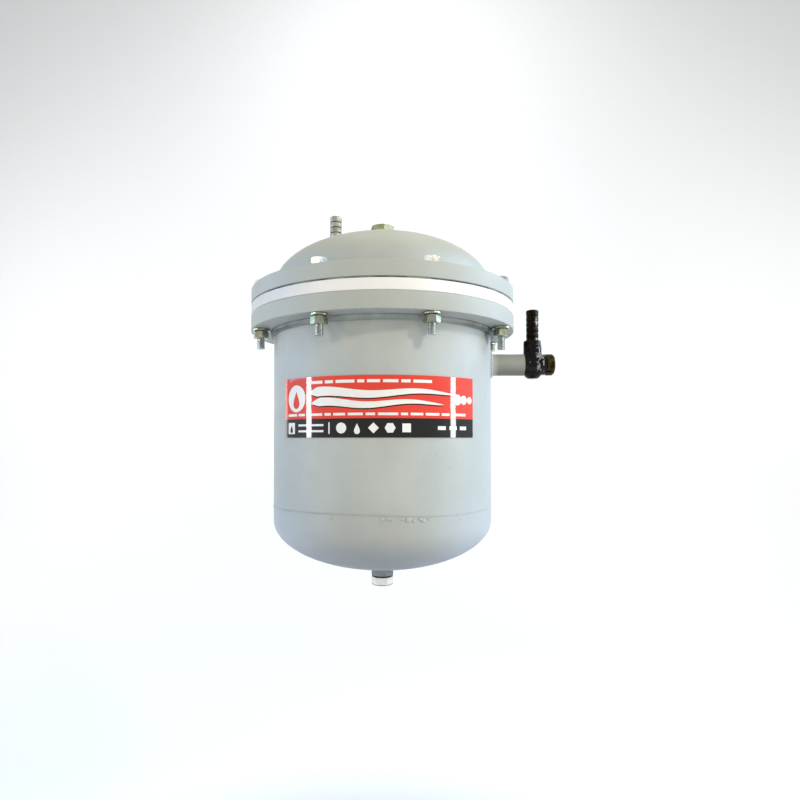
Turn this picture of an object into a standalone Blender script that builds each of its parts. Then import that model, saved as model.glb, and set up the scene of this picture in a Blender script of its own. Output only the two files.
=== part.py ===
"""Cartridge filter housing, modelled as separate parts in metres, +Z up.

A flanged steel vessel with a dished bottom hangs by its flange.  A white tube plate is clamped
between the vessel flange and the flange of a domed lid by eight bolts, and a pleated cartridge
hangs from that plate.  Water enters through the side pipe, crosses the pleats, rises through the
plate into the lid and leaves by the hose tail there.  The origin is the centre of the drain
plug's lower face, -Y is the front, where the label is, and +X is the side of the pipe.
"""

import math

import bmesh
import bpy
from mathutils import Matrix, Vector

# Driving dimensions, in metres.
GAP = 0.0003
WALL = 0.004
SHELL_R = 0.1095
FLANGE_R = 0.1318
HEAD_TANGENT_Z = 0.0686
HEAD_DEPTH = 0.0494
SEAM_Z = 0.0820
VESSEL_FLANGE_Z = 0.2534
VESSEL_FLANGE_T = 0.0153
GROOVE_R = (0.1120, 0.1160)
GROOVE_DEPTH = 0.0028
O_RING_R = 0.0011
PLATE_T = 0.0096
GASKET_T = 0.0008
LID_FLANGE_T = 0.0141
DOME_STRAIGHT = 0.0041
DOME_HEIGHT = 0.0529

# Bolting: M8 on a circle, with the front between two bolts.
BOLT_COUNT = 8
BOLT_CIRCLE_R = 0.1234
BOLT_SHANK_R = 0.0039
BOLT_LENGTH = 0.0596
BOLT_HOLE_R = 0.0045
HEX_FLATS = 0.013
HEAD_H = 0.0053
NUT_H = 0.0068
WASHER_R = 0.0083
NUT_WASHER_T = 0.0020

# Drain at the bottom, vent plug and hose tail on the lid.
SOCKET_R = 0.0111
SOCKET_BOTTOM_Z = 0.0098
SOCKET_TOP_Z = 0.0262
DRAIN_HEAD_H = 0.0080
DRAIN_HEX_FLATS = 0.0194
DRAIN_THREAD_R = 0.0080
DRAIN_THREAD_TOP_Z = 0.0200
BOSS_R = 0.0135
BOSS_TOP_Z = 0.3604
BOSS_BOTTOM_Z = 0.3430
VENT_HEX_FLATS = 0.0220
VENT_TOP_Z = 0.3664
VENT_THREAD_R = 0.0098
TAIL_X, TAIL_Y = -0.0501, 0.014
TAIL_BOSS_R = 0.0090
TAIL_BOSS_Z = (0.3350, 0.3508)
TAIL_HEX_H = 0.0060
TAIL_TOP_Z = 0.3828
TAIL_R = 0.00615
TAIL_BORE_R = 0.0040
BARB_PITCH = 0.0056
BARB_DEPTH = 0.0008
BARB_TIP = 0.0005
SPIGOT_R = 0.0053
SPIGOT_LENGTH = 0.0100

# Side pipe and the wrapped tee at its end.
PIPE_Z = 0.2230
PIPE_R = 0.01085
PIPE_BORE_R = 0.0080
PIPE_START_X = 0.1030
PIPE_END_X = 0.1434
TEE_X = 0.1524
TEE_END_X = 0.1652
TEE_RUN_R = 0.0098
TEE_BRANCH_R = 0.0078
TEE_BOTTOM_Z = 0.2102
TEE_TOP_Z = 0.2462
WRAP_RUN_R = 0.0112
WRAP_BRANCH_R = 0.0090
WRAP_BOTTOM_Z = 0.2090
WRAP_TOP_Z = 0.2472
OUTLET_TOP_Z = 0.2784
END_PLUG_X = 0.1735
END_PLUG_R = 0.0107

# Cartridge, hung from the plate by its threaded neck and a ring nut.
NECK_R = 0.0240
NECK_BORE_R = 0.0180
NECK_TOP_Z = 0.2950
CAP_R = 0.0760
CAP_T = 0.0120
NECK_SEAL_T = 0.0029
RING_NUT_R = 0.0370
RING_NUT_H = 0.0120
MEDIA_R = 0.0725
MEDIA_INNER_R = 0.0310
PLEAT_DEPTH = 0.0075
PLEATS = 40
CORE_R = 0.0300
CORE_BORE_R = 0.0265
CARTRIDGE_BOTTOM_Z = 0.0760

LABEL_ANGLE = math.radians(50.5)
LABEL_Z = (0.1492, 0.2020)
LABEL_T = 0.0005

# Levels that follow from the thicknesses above.
PLATE_Z = VESSEL_FLANGE_Z + VESSEL_FLANGE_T + GAP
PLATE_TOP_Z = PLATE_Z + PLATE_T
GASKET_Z = PLATE_TOP_Z + GAP
LID_FLANGE_Z = GASKET_Z + GASKET_T + GAP
LID_FLANGE_TOP_Z = LID_FLANGE_Z + LID_FLANGE_T
DOME_Z = LID_FLANGE_TOP_Z + GAP
DOME_TANGENT_Z = LID_FLANGE_TOP_Z + DOME_STRAIGHT
CAP_TOP_Z = PLATE_Z - 2 * GAP - NECK_SEAL_T

BIG = 48
MEDIUM = 24
SMALL = 16
TINY = 12
HEAD_STEPS = 6

housing = bpy.data.collections.new("cartridge_filter_housing")
cutters = bpy.data.collections.new("cutters")


def material(name, colour, metallic, roughness):
    made = bpy.data.materials.new(name)
    made.use_nodes = True
    shader = made.node_tree.nodes["Principled BSDF"]
    shader.inputs["Base Color"].default_value = (*colour, 1)
    shader.inputs["Metallic"].default_value = metallic
    shader.inputs["Roughness"].default_value = roughness
    return made


def add(name, data, finish, at=(0, 0, 0)):
    """Put mesh or curve data into the housing as one named sub-part."""
    made = bpy.data.objects.new(name, data)
    made.location = at
    if finish:
        data.materials.append(finish)
    housing.objects.link(made)
    return made


def smooth(data):
    data.shade_smooth()
    data.set_sharp_from_angle(angle=math.radians(35))


def turned(name, profile, finish, at=(0, 0, 0), steps=BIG, closed=True, axis="Z"):
    """Revolve a profile of (radius, height) points, given down the outer side first."""
    mesh = bpy.data.meshes.new(name)
    lines = [(i, i + 1) for i in range(len(profile) - 1)]
    if closed:
        lines.append((len(profile) - 1, 0))
    mesh.from_pydata([(r, 0, z) for r, z in profile], lines, [])
    made = add(name, mesh, finish, at)
    screw = made.modifiers.new("turn", "SCREW")
    screw.steps = screw.render_steps = steps
    screw.use_merge_vertices = True
    screw.merge_threshold = 0.00002
    screw.use_smooth_shade = False
    if axis == "X":
        made.rotation_euler = (0, math.pi / 2, 0)
    return made


def ring(outer, inner, low, high):
    """The closed outline of a plain ring."""
    return [(outer, high), (outer, low), (inner, low), (inner, high)]


def prism(name, sides, radius, low, high, finish=None, at=(0, 0, 0), turn=0.0):
    """A capped cylinder or hexagon whose axis is Z."""
    shape = bmesh.new()
    place = Matrix.Translation((0, 0, (low + high) / 2)) @ Matrix.Rotation(turn, 4, "Z")
    bmesh.ops.create_cone(
        shape, cap_ends=True, segments=sides, radius1=radius, radius2=radius,
        depth=high - low, matrix=place,
    )
    mesh = bpy.data.meshes.new(name)
    shape.to_mesh(mesh)
    shape.free()
    return add(name, mesh, finish, at)


def combine(target, tool, operation):
    """Join a tool to the target or cut it away, and keep the tool as a hidden guide."""
    change = target.modifiers.new(tool.name, "BOOLEAN")
    change.operation = operation
    change.solver = "EXACT"
    change.object = tool
    housing.objects.unlink(tool)
    cutters.objects.link(tool)
    tool.hide_render = True
    tool.display_type = "WIRE"


def cut(target, tool):
    combine(target, tool, "DIFFERENCE")


def join(target, tool):
    combine(target, tool, "UNION")


def evaluated_mesh(source, name):
    """The finished mesh of an object with its modifiers applied."""
    bpy.context.view_layer.update()
    view = bpy.context.evaluated_depsgraph_get()
    mesh = bpy.data.meshes.new_from_object(source.evaluated_get(view))
    mesh.name = name
    return mesh


def hex_radius(flats):
    return flats / math.sqrt(3)


def bolt_places():
    for i in range(BOLT_COUNT):
        angle = math.radians(-90 + 22.5 + 45 * i)
        yield i + 1, angle, BOLT_CIRCLE_R * Vector((math.cos(angle), math.sin(angle), 0))


def bolt_holes(name, low, high):
    """One guide that holds all the bolt holes of a flange."""
    shape = bmesh.new()
    for _, angle, place in bolt_places():
        middle = Matrix.Translation(place + Vector((0, 0, (low + high) / 2)))
        bmesh.ops.create_cone(
            shape, cap_ends=True, segments=TINY, radius1=BOLT_HOLE_R, radius2=BOLT_HOLE_R,
            depth=high - low + 0.004, matrix=middle @ Matrix.Rotation(angle, 4, "Z"),
        )
    mesh = bpy.data.meshes.new(name)
    shape.to_mesh(mesh)
    shape.free()
    return add(name, mesh, None)


def head_arc(radius, depth, hole):
    """Points of an elliptical head from its rim to the edge of its centre hole."""
    last = math.acos(hole / radius)
    angles = [last * i / HEAD_STEPS for i in range(HEAD_STEPS + 1)]
    return [(radius * math.cos(a), depth * math.sin(a)) for a in angles]


def head_outline(tangent, rim, depth, hole, way):
    """A dished head: way is -1 when it bulges down and +1 when it bulges up."""
    outer = [(r, tangent + way * h) for r, h in head_arc(SHELL_R, depth, hole)]
    inner = [(r, tangent + way * h) for r, h in head_arc(SHELL_R - WALL, depth - WALL, hole)]
    points = [(SHELL_R, rim)] + outer + inner[::-1] + [(SHELL_R - WALL, rim)]
    return points if way < 0 else points[::-1]


def barbs(root, top):
    """The outer side of a ringed hose tail, from its top down to its root."""
    points = [(TAIL_R - BARB_DEPTH, top), (TAIL_R, top - BARB_DEPTH)]
    z = top - BARB_PITCH - BARB_TIP
    while z > root + BARB_PITCH / 2:
        points += [(TAIL_R, z + 0.0012), (TAIL_R - BARB_DEPTH, z), (TAIL_R, z - 0.0004)]
        z -= BARB_PITCH
    return points + [(TAIL_R, root)]


def make_vessel(paint, steel, rubber):
    turned_shell = ring(SHELL_R, SHELL_R - WALL, SEAM_Z + GAP / 2, PLATE_Z - GAP - 0.0010)
    shell = turned("vessel_shell", turned_shell, paint)
    hole = prism("pipe_hole", MEDIUM, PIPE_R + GAP, -0.02, 0.02, at=(SHELL_R, 0, PIPE_Z))
    hole.rotation_euler = (0, math.pi / 2, 0)
    cut(shell, hole)

    outline = head_outline(HEAD_TANGENT_Z, SEAM_Z - GAP / 2, HEAD_DEPTH, SOCKET_R + GAP, -1)
    turned("bottom_head", outline, paint)

    top = VESSEL_FLANGE_Z + VESSEL_FLANGE_T
    floor = top - GROOVE_DEPTH
    outline = [
        (FLANGE_R, top), (FLANGE_R, VESSEL_FLANGE_Z),
        (SHELL_R + GAP, VESSEL_FLANGE_Z), (SHELL_R + GAP, top),
        (GROOVE_R[0], top), (GROOVE_R[0], floor), (GROOVE_R[1], floor), (GROOVE_R[1], top),
    ]
    flange = turned("vessel_flange", outline, paint)
    cut(flange, bolt_holes("vessel_bolt_holes", VESSEL_FLANGE_Z, top))

    middle = Vector((sum(GROOVE_R) / 2, (top + floor) / 2))
    section = [Vector((math.cos(a), -math.sin(a))) for a in (i * math.pi / 3 for i in range(6))]
    points = [tuple(middle + O_RING_R * p) for p in section]
    turned("flange_o_ring", points, rubber, steps=32)

    bore = DRAIN_THREAD_R + GAP
    turned("drain_socket", ring(SOCKET_R, bore, SOCKET_BOTTOM_Z, SOCKET_TOP_Z), paint, steps=MEDIUM)
    seal_z = DRAIN_HEAD_H + GAP
    outline = ring(SOCKET_R - 0.0004, bore, seal_z, SOCKET_BOTTOM_Z - GAP)
    turned("drain_seal", outline, rubber, steps=MEDIUM)
    plug = prism(
        "drain_plug", 6, hex_radius(DRAIN_HEX_FLATS), 0, DRAIN_HEAD_H, steel,
        turn=math.radians(30),
    )
    join(plug, prism("drain_thread", MEDIUM, DRAIN_THREAD_R, 0.004, DRAIN_THREAD_TOP_Z))


def make_label(print_film):
    """A thin printed film wrapped round the front of the shell."""
    mesh = bpy.data.meshes.new("label")
    start = -math.pi / 2 - LABEL_ANGLE
    radius = SHELL_R + GAP
    x, y = radius * math.cos(start), radius * math.sin(start)
    mesh.from_pydata([(x, y, LABEL_Z[1]), (x, y, LABEL_Z[0])], [(0, 1)], [])
    film = add("label", mesh, print_film)
    screw = film.modifiers.new("wrap", "SCREW")
    screw.angle = 2 * LABEL_ANGLE
    screw.steps = screw.render_steps = TINY * 2
    screw.use_smooth_shade = False
    solid = film.modifiers.new("thickness", "SOLIDIFY")
    solid.thickness = LABEL_T
    solid.offset = 1.0


def make_side_pipe(paint, brass, tape, bronze):
    length = PIPE_END_X - PIPE_START_X
    start = (PIPE_START_X, 0, PIPE_Z)
    turned("side_pipe", ring(PIPE_R, PIPE_BORE_R, 0, length), paint, start, MEDIUM, axis="X")

    def cross(name, run_r, branch_r, low, high, first, last, finish):
        """A run along X joined to an upright branch."""
        run = prism(name, MEDIUM, run_r, first - TEE_X, last - TEE_X, finish, (TEE_X, 0, PIPE_Z))
        run.rotation_euler = (0, math.pi / 2, 0)
        at = (TEE_X, 0, 0)
        join(run, prism(name + "_branch", MEDIUM, branch_r, low, high, None, at))
        return run

    first = PIPE_END_X + GAP
    tee = cross("tee_body", TEE_RUN_R, TEE_BRANCH_R, TEE_BOTTOM_Z, TEE_TOP_Z,
                first, TEE_END_X, brass)
    bore = prism("tee_bore", MEDIUM, PIPE_BORE_R, -0.03, 0.03, None, (TEE_X, 0, PIPE_Z))
    bore.rotation_euler = (0, math.pi / 2, 0)
    cut(tee, bore)
    socket = prism("tee_socket", SMALL, SPIGOT_R + GAP, PIPE_Z, TEE_TOP_Z + 0.01, None,
                   (TEE_X, 0, 0))
    cut(tee, socket)

    wrap = cross("tape_wrap", WRAP_RUN_R, WRAP_BRANCH_R, WRAP_BOTTOM_Z, WRAP_TOP_Z,
                 first, TEE_END_X, tape)
    hollow = cross("wrap_hollow", TEE_RUN_R + GAP, TEE_BRANCH_R + GAP, TEE_BOTTOM_Z - GAP,
                   WRAP_TOP_Z + 0.01, first - 0.01, TEE_END_X + 0.01, None)
    cut(wrap, hollow)

    outline = barbs(TEE_TOP_Z + GAP, OUTLET_TOP_Z)
    outline += [(SPIGOT_R, TEE_TOP_Z + GAP), (SPIGOT_R, TEE_TOP_Z - SPIGOT_LENGTH)]
    outline += [(TAIL_BORE_R, TEE_TOP_Z - SPIGOT_LENGTH), (TAIL_BORE_R, OUTLET_TOP_Z)]
    turned("outlet_hose_tail", outline, brass, (TEE_X, 0, 0), SMALL)

    face = END_PLUG_X - TEE_END_X
    outline = [(0, face), (END_PLUG_R - 0.0018, face), (END_PLUG_R, face - 0.0018),
               (END_PLUG_R, GAP), (PIPE_BORE_R - GAP, GAP), (PIPE_BORE_R - GAP, -0.006),
               (0, -0.006)]
    at = (TEE_END_X, 0, PIPE_Z)
    turned("end_plug", outline, bronze, at, MEDIUM, closed=False, axis="X")


def make_lid(paint, brass, steel):
    bore = SHELL_R - WALL
    flange = turned("lid_flange", ring(FLANGE_R, bore, LID_FLANGE_Z, LID_FLANGE_TOP_Z), paint)
    cut(flange, bolt_holes("lid_bolt_holes", LID_FLANGE_Z, LID_FLANGE_TOP_Z))

    outline = head_outline(DOME_TANGENT_Z, DOME_Z, DOME_HEIGHT, BOSS_R + GAP, 1)
    dome = turned("lid_dome", outline, paint)
    hole = prism("tail_hole", MEDIUM, TAIL_BOSS_R + GAP, 0.30, 0.38, at=(TAIL_X, TAIL_Y, 0))
    cut(dome, hole)

    inner = VENT_THREAD_R + GAP
    turned("lid_boss", ring(BOSS_R, inner, BOSS_BOTTOM_Z, BOSS_TOP_Z), paint, steps=MEDIUM)
    plug = prism("vent_plug", 6, hex_radius(VENT_HEX_FLATS), BOSS_TOP_Z + GAP, VENT_TOP_Z,
                 brass, turn=math.radians(12))
    join(plug, prism("vent_thread", MEDIUM, VENT_THREAD_R, 0.346, VENT_TOP_Z - 0.002))

    at = (TAIL_X, TAIL_Y, 0)
    outline = ring(TAIL_BOSS_R, SPIGOT_R + GAP, *TAIL_BOSS_Z)
    turned("lid_tail_boss", outline, paint, at, steps=MEDIUM)
    root = TAIL_BOSS_Z[1] + GAP + TAIL_HEX_H
    low = root - SPIGOT_LENGTH - TAIL_HEX_H
    outline = barbs(root, TAIL_TOP_Z) + [(SPIGOT_R, root - 0.001), (SPIGOT_R, low)]
    outline += [(TAIL_BORE_R, low), (TAIL_BORE_R, TAIL_TOP_Z)]
    tail = turned("lid_hose_tail", outline, steel, at, SMALL)
    nut = prism("tail_hex", 6, hex_radius(0.015), TAIL_BOSS_Z[1] + GAP, root, None, at)
    cut(nut, prism("tail_hex_bore", SMALL, TAIL_BORE_R + 0.0005, 0.34, 0.37, None, at))
    join(tail, nut)


def make_fasteners(zinc):
    """Eight bolts, heads on the lid flange, each with a washer and nut below the vessel flange."""
    head = prism("bolt_head", 6, hex_radius(HEX_FLATS), 0, HEAD_H)
    join(head, prism("bolt_shank", TINY, BOLT_SHANK_R, -BOLT_LENGTH, 0.002))
    bolt = evaluated_mesh(head, "bolt")
    blank = prism("nut_blank", 6, hex_radius(HEX_FLATS), -NUT_H, 0)
    cut(blank, prism("nut_bore", TINY, BOLT_SHANK_R + GAP + 0.0001, -0.01, 0.01))
    nut = evaluated_mesh(blank, "nut")
    inner = BOLT_SHANK_R + GAP + 0.0001
    washer = turned("washer_blank", ring(WASHER_R, inner, 0, 1), None, steps=TINY)
    disc = evaluated_mesh(washer, "washer")
    for blank_part in (head, blank, washer):
        bpy.data.objects.remove(blank_part)

    washer_z = VESSEL_FLANGE_Z - GAP - NUT_WASHER_T
    for i, angle, place in bolt_places():
        parts = [
            (f"bolt_{i}", bolt, DOME_Z, 1),
            (f"nut_washer_{i}", disc, washer_z, NUT_WASHER_T),
            (f"nut_{i}", nut, washer_z - GAP, 1),
        ]
        for name, shared, z, tall in parts:
            mesh = shared.copy()
            mesh.transform(Matrix.Diagonal((1, 1, tall, 1)))
            made = add(name, mesh, zinc, (place.x, place.y, z))
            made.rotation_euler.z = angle


def make_cartridge(plate_white, rubber, plastic, media, core_grey):
    plate_outline = ring(FLANGE_R - 0.0002, NECK_R + 0.0006, PLATE_Z, PLATE_TOP_Z)
    plate = turned("tube_plate", plate_outline, plate_white)
    cut(plate, bolt_holes("plate_bolt_holes", PLATE_Z, PLATE_TOP_Z))

    outline = ring(FLANGE_R - 0.0012, SHELL_R - WALL, GASKET_Z, GASKET_Z + GASKET_T)
    gasket = turned("lid_gasket", outline, rubber)
    cut(gasket, bolt_holes("gasket_bolt_holes", GASKET_Z, GASKET_Z + GASKET_T))

    base = CAP_TOP_Z - CAP_T
    outline = [
        (NECK_R, NECK_TOP_Z), (NECK_R, CAP_TOP_Z), (CAP_R, CAP_TOP_Z), (CAP_R, base),
        (NECK_BORE_R, base), (NECK_BORE_R, NECK_TOP_Z),
    ]
    turned("cartridge_top_cap", outline, plastic)
    outline = ring(NECK_R + 0.010, NECK_R + 0.0006, CAP_TOP_Z + GAP, PLATE_Z - GAP)
    turned("neck_seal", outline, rubber, steps=MEDIUM)

    low = PLATE_TOP_Z + GAP
    outline = ring(RING_NUT_R, NECK_R + 0.0006, low, low + RING_NUT_H)
    nut = turned("ring_nut", outline, plastic, steps=MEDIUM)
    slots = bmesh.new()
    for i in range(6):
        turn = Matrix.Rotation(i * math.pi / 3, 4, "Z")
        where = turn @ Matrix.Translation((RING_NUT_R, 0, low + RING_NUT_H / 2))
        size = Matrix.Diagonal((0.010, 0.011, RING_NUT_H + 0.004, 1))
        bmesh.ops.create_cube(slots, size=1, matrix=where @ size)
    mesh = bpy.data.meshes.new("ring_nut_slots")
    slots.to_mesh(mesh)
    slots.free()
    cut(nut, add("ring_nut_slots", mesh, None))

    floor = CARTRIDGE_BOTTOM_Z + CAP_T
    make_media("filter_media", media, floor + GAP, base - GAP)
    outline = ring(CORE_R, CORE_BORE_R, floor + GAP, base - GAP)
    turned("core_tube", outline, core_grey, steps=MEDIUM)
    outline = [(0, floor), (CAP_R, floor), (CAP_R, CARTRIDGE_BOTTOM_Z + 0.003),
               (CAP_R - 0.003, CARTRIDGE_BOTTOM_Z), (0, CARTRIDGE_BOTTOM_Z)]
    turned("cartridge_bottom_cap", outline, plastic, closed=False)


def make_media(name, finish, low, high):
    """The pleated pack: a zigzag outline with a round hole, drawn flat and given its height."""
    flat = bpy.data.curves.new(name, "CURVE")
    flat.dimensions = "2D"
    flat.fill_mode = "BOTH"
    flat.extrude = (high - low) / 2

    def loop(count, radius_at):
        line = flat.splines.new("POLY")
        line.points.add(count - 1)
        line.use_cyclic_u = True
        for i, point in enumerate(line.points):
            angle = 2 * math.pi * i / count
            radius = radius_at(i)
            point.co = (radius * math.cos(angle), radius * math.sin(angle), 0, 1)

    loop(2 * PLEATS, lambda i: MEDIA_R - PLEAT_DEPTH * (i % 2))
    loop(MEDIUM, lambda i: MEDIA_INNER_R)
    return add(name, flat, finish, (0, 0, (low + high) / 2))


def main():
    for old in list(bpy.data.objects):
        bpy.data.objects.remove(old)
    bpy.context.scene.collection.children.link(housing)
    bpy.context.scene.collection.children.link(cutters)

    paint = material("grey_paint", (0.47, 0.51, 0.52), 0.0, 0.45)
    steel = material("plated_steel", (0.72, 0.72, 0.70), 1.0, 0.25)
    zinc = material("zinc_plate", (0.66, 0.66, 0.58), 1.0, 0.35)
    brass = material("brass", (0.62, 0.56, 0.34), 1.0, 0.35)
    bronze = material("tarnished_brass", (0.20, 0.15, 0.08), 1.0, 0.40)
    rubber = material("black_rubber", (0.03, 0.03, 0.03), 0.0, 0.70)
    tape = material("black_tape", (0.02, 0.02, 0.022), 0.0, 0.25)
    white = material("white_plate", (0.88, 0.88, 0.87), 0.0, 0.50)
    caps = material("blue_plastic", (0.16, 0.27, 0.42), 0.0, 0.45)
    media = material("pleated_media", (0.90, 0.90, 0.86), 0.0, 0.90)
    core = material("core_plastic", (0.75, 0.76, 0.76), 0.0, 0.50)
    film = material("label_film", (0.66, 0.06, 0.07), 0.0, 0.15)

    make_vessel(paint, steel, rubber)
    make_label(film)
    make_side_pipe(paint, brass, tape, bronze)
    make_lid(paint, brass, steel)
    make_fasteners(zinc)
    make_cartridge(white, rubber, caps, media, core)

    for made in housing.objects:
        if made.type == "MESH":
            smooth(made.data)


main()
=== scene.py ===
"""Looks of the cartridge filter housing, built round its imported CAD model.

Lengths are in metres in the CAD's own frame: +Z up along the vessel, -Y to the front, where the
label is, and +X to the side pipe.  Places come from the CAD nodes' boxes.
"""

import math

import bmesh
import bpy
import numpy as np
from mathutils import Matrix, Vector, noise


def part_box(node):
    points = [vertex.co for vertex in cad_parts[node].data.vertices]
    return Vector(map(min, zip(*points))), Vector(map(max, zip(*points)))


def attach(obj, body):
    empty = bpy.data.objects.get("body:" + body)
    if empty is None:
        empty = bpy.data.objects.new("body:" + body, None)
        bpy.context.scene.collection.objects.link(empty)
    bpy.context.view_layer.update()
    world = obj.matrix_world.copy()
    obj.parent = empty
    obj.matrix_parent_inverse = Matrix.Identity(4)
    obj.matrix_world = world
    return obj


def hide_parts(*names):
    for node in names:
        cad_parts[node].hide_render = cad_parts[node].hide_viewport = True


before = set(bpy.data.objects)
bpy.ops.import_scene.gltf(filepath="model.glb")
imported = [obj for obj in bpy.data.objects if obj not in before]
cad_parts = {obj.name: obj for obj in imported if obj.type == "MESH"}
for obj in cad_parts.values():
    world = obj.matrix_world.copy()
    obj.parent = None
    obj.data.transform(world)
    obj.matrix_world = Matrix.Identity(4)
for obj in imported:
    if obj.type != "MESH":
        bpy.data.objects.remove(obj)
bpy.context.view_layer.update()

MM = 0.001
# Steps round a turned piece: large with a wobble, large and plain, and small.
DENSE, FINE, ROUND = 256, 192, 64
# How much further the threads of a few bolts reach down.
BOLT_EXTRA = {2: 3.0 * MM, 3: 1.0 * MM, 7: 0.8 * MM}
# Degrees that each bolt's head and nut were turned to when they were tightened.
BOLT_TURNS = ((-62, -92), (-25, -80), (7, 33), (48, 14), (92, 71), (130, 157), (-160, -35),
              (-112, -81))

# Sizes read from the CAD nodes.
shell_low, shell_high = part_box("vessel_shell")
vessel_flange_low, vessel_flange_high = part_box("vessel_flange")
dome_low, dome_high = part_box("lid_dome")
pipe_low, pipe_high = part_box("side_pipe")
tail_low, tail_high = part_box("lid_hose_tail")
outlet_low, outlet_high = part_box("outlet_hose_tail")
label_low, label_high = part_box("label")

SHELL_R = shell_high.x
WALL = 4 * MM
FLANGE_R = vessel_flange_high.x
FLANGE_Z = vessel_flange_low.z
HOLE_R = 4.5 * MM
PIPE_R = pipe_high.y
PIPE_Z = (pipe_low.z + pipe_high.z) / 2
TAIL_AT = Vector(((tail_low.x + tail_high.x) / 2, (tail_low.y + tail_high.y) / 2, 0))
TEE_AT = Vector(((outlet_low.x + outlet_high.x) / 2, 0, 0))
TAIL_R = outlet_high.y
SEAM_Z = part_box("bottom_head")[1].z
SEAM_CLIMB = 2.2 * MM
HEAD_DEPTH = 49.4 * MM
HEAD_TANGENT_Z = 68.6 * MM
DOME_HEIGHT = 52.9 * MM
DOME_TANGENT_Z = dome_high.z + 0.5 * MM - DOME_HEIGHT
LABEL_R = SHELL_R + 0.3 * MM
LABEL_HALF = math.asin(min(label_high.x / (LABEL_R + 0.5 * MM), 1.0)) * LABEL_R
LABEL_BREAK_Z = label_low.z + 16.3 * MM


# ---------------- mesh helpers

def polar(radius, angle, z=0.0):
    """The point at a radius, an angle in radians and a height."""
    return radius * math.cos(angle), radius * math.sin(angle), z


def quads(rows, columns, first=0, loop=True, wrap=True):
    """Faces of a grid of vertices, numbered row by row from first.

    With loop the last row joins the first one, and with wrap each row's end joins its start.
    """
    faces = []
    for i in range(rows if loop else rows - 1):
        a, b = first + i * columns, first + (i + 1) % rows * columns
        for j in range(columns if wrap else columns - 1):
            k = (j + 1) % columns
            faces.append((a + j, a + k, b + k, b + j))
    return faces


def flipped(faces):
    """The same faces seen from behind, each from the same corner on."""
    return [(face[0], *face[:0:-1]) for face in faces]


def rod_faces(rows, columns):
    """Faces of a solid rod: its side, then a cap over its first row and one over its last."""
    last = (rows - 1) * columns
    caps = [tuple(range(columns))[::-1], tuple(range(last, last + columns))]
    return quads(rows, columns, loop=False) + caps


def hem(edge, layer):
    """Faces that join a closed edge of a sheet's front to its back, layer vertices further on."""
    return [(b, a, layer + a, layer + b) for a, b in zip(edge, edge[1:] + edge[:1])]


def lathe(profile, steps=FINE, closed=True):
    """Vertices and faces of a profile of (radius, height) points turned round Z, outer side first."""
    angles = math.tau * np.arange(steps) / steps
    radius, height = np.array(profile).T
    verts = np.stack([
        np.outer(np.cos(angles), radius),
        np.outer(np.sin(angles), radius),
        np.tile(height, (steps, 1)),
    ], axis=-1).reshape(-1, 3)
    return verts, quads(steps, len(profile), wrap=closed)


def rounded(profile, radius, steps=3, closed=True):
    """The profile with its corners rounded, except those on the axis."""
    points = [np.array(p, float) for p in profile]
    out = []
    for i, corner in enumerate(points):
        ends = not closed and i in (0, len(points) - 1)
        if ends or corner[0] < 1e-6:
            out.append(tuple(corner))
            continue
        before, after = points[i - 1] - corner, points[(i + 1) % len(points)] - corner
        reach = min(radius, 0.45 * np.linalg.norm(before), 0.45 * np.linalg.norm(after))
        first = corner + before / np.linalg.norm(before) * reach
        last = corner + after / np.linalg.norm(after) * reach
        for t in np.linspace(0, 1, steps + 1):
            bend = (1 - t) ** 2 * first + 2 * t * (1 - t) * corner + t ** 2 * last
            out.append(tuple(bend))
    return out


def ring(outer, inner, low, high, edge):
    """The section of a ring, with rounded edges."""
    return rounded([(outer, high), (outer, low), (inner, low), (inner, high)], edge)


def link(name, data):
    """A new object in the scene."""
    made = bpy.data.objects.new(name, data)
    bpy.context.scene.collection.objects.link(made)
    return made


def smooth(mesh, sharp):
    """Shade a mesh smooth, except at edges sharper than this many degrees."""
    mesh.shade_smooth()
    mesh.set_sharp_from_angle(angle=math.radians(sharp))


def piece(name, verts, faces, body, finish, stands_for=(), at=(0, 0, 0), sharp=38):
    """A closed mesh that rides on a CAD body, wears a finish and stands for CAD nodes."""
    mesh = bpy.data.meshes.new(name)
    mesh.from_pydata([tuple(v) for v in verts], [], faces)
    tidy = bmesh.new()
    tidy.from_mesh(mesh)
    bmesh.ops.remove_doubles(tidy, verts=tidy.verts, dist=1e-7)
    bmesh.ops.dissolve_degenerate(tidy, edges=tidy.edges, dist=1e-8)
    tidy.to_mesh(mesh)
    tidy.free()
    return place(name, mesh, body, finish, stands_for, at, sharp)


def place(name, mesh, body, finish, stands_for=(), at=(0, 0, 0), sharp=38):
    made = link(name, mesh)
    made.location = at
    wear(made, finish)
    smooth(mesh, sharp)
    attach(made, body)
    if stands_for:
        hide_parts(*stands_for)
    return made


def wear(made, finish):
    """Give an object the material of a finish, which is a material and the record's slot that it
    belongs to; the slot is not used here.
    """
    material, slot = finish
    made.data.materials.clear()
    made.data.materials.append(material)


def wobble(verts, amount, scale, seed=0.0):
    """Push vertices in or out by smooth noise."""
    out = np.array(verts, float)
    for v in out:
        push = noise.noise(Vector(v) * scale + Vector((seed, 3.1 * seed, 7.7)))
        r = math.hypot(v[0], v[1]) or 1.0
        v += np.array((v[0] / r, v[1] / r, 0)) * push * amount
    return out


def turned(name, profile, body, finish, node, steps=FINE, uneven=None, at=(0, 0, 0), closed=True):
    """A piece turned from a profile. Uneven is a wobble's amount, scale and seed."""
    verts, faces = lathe(profile, steps, closed)
    if uneven:
        verts = wobble(verts, *uneven)
    return piece(name, verts, faces, body, finish, [node], at)


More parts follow.
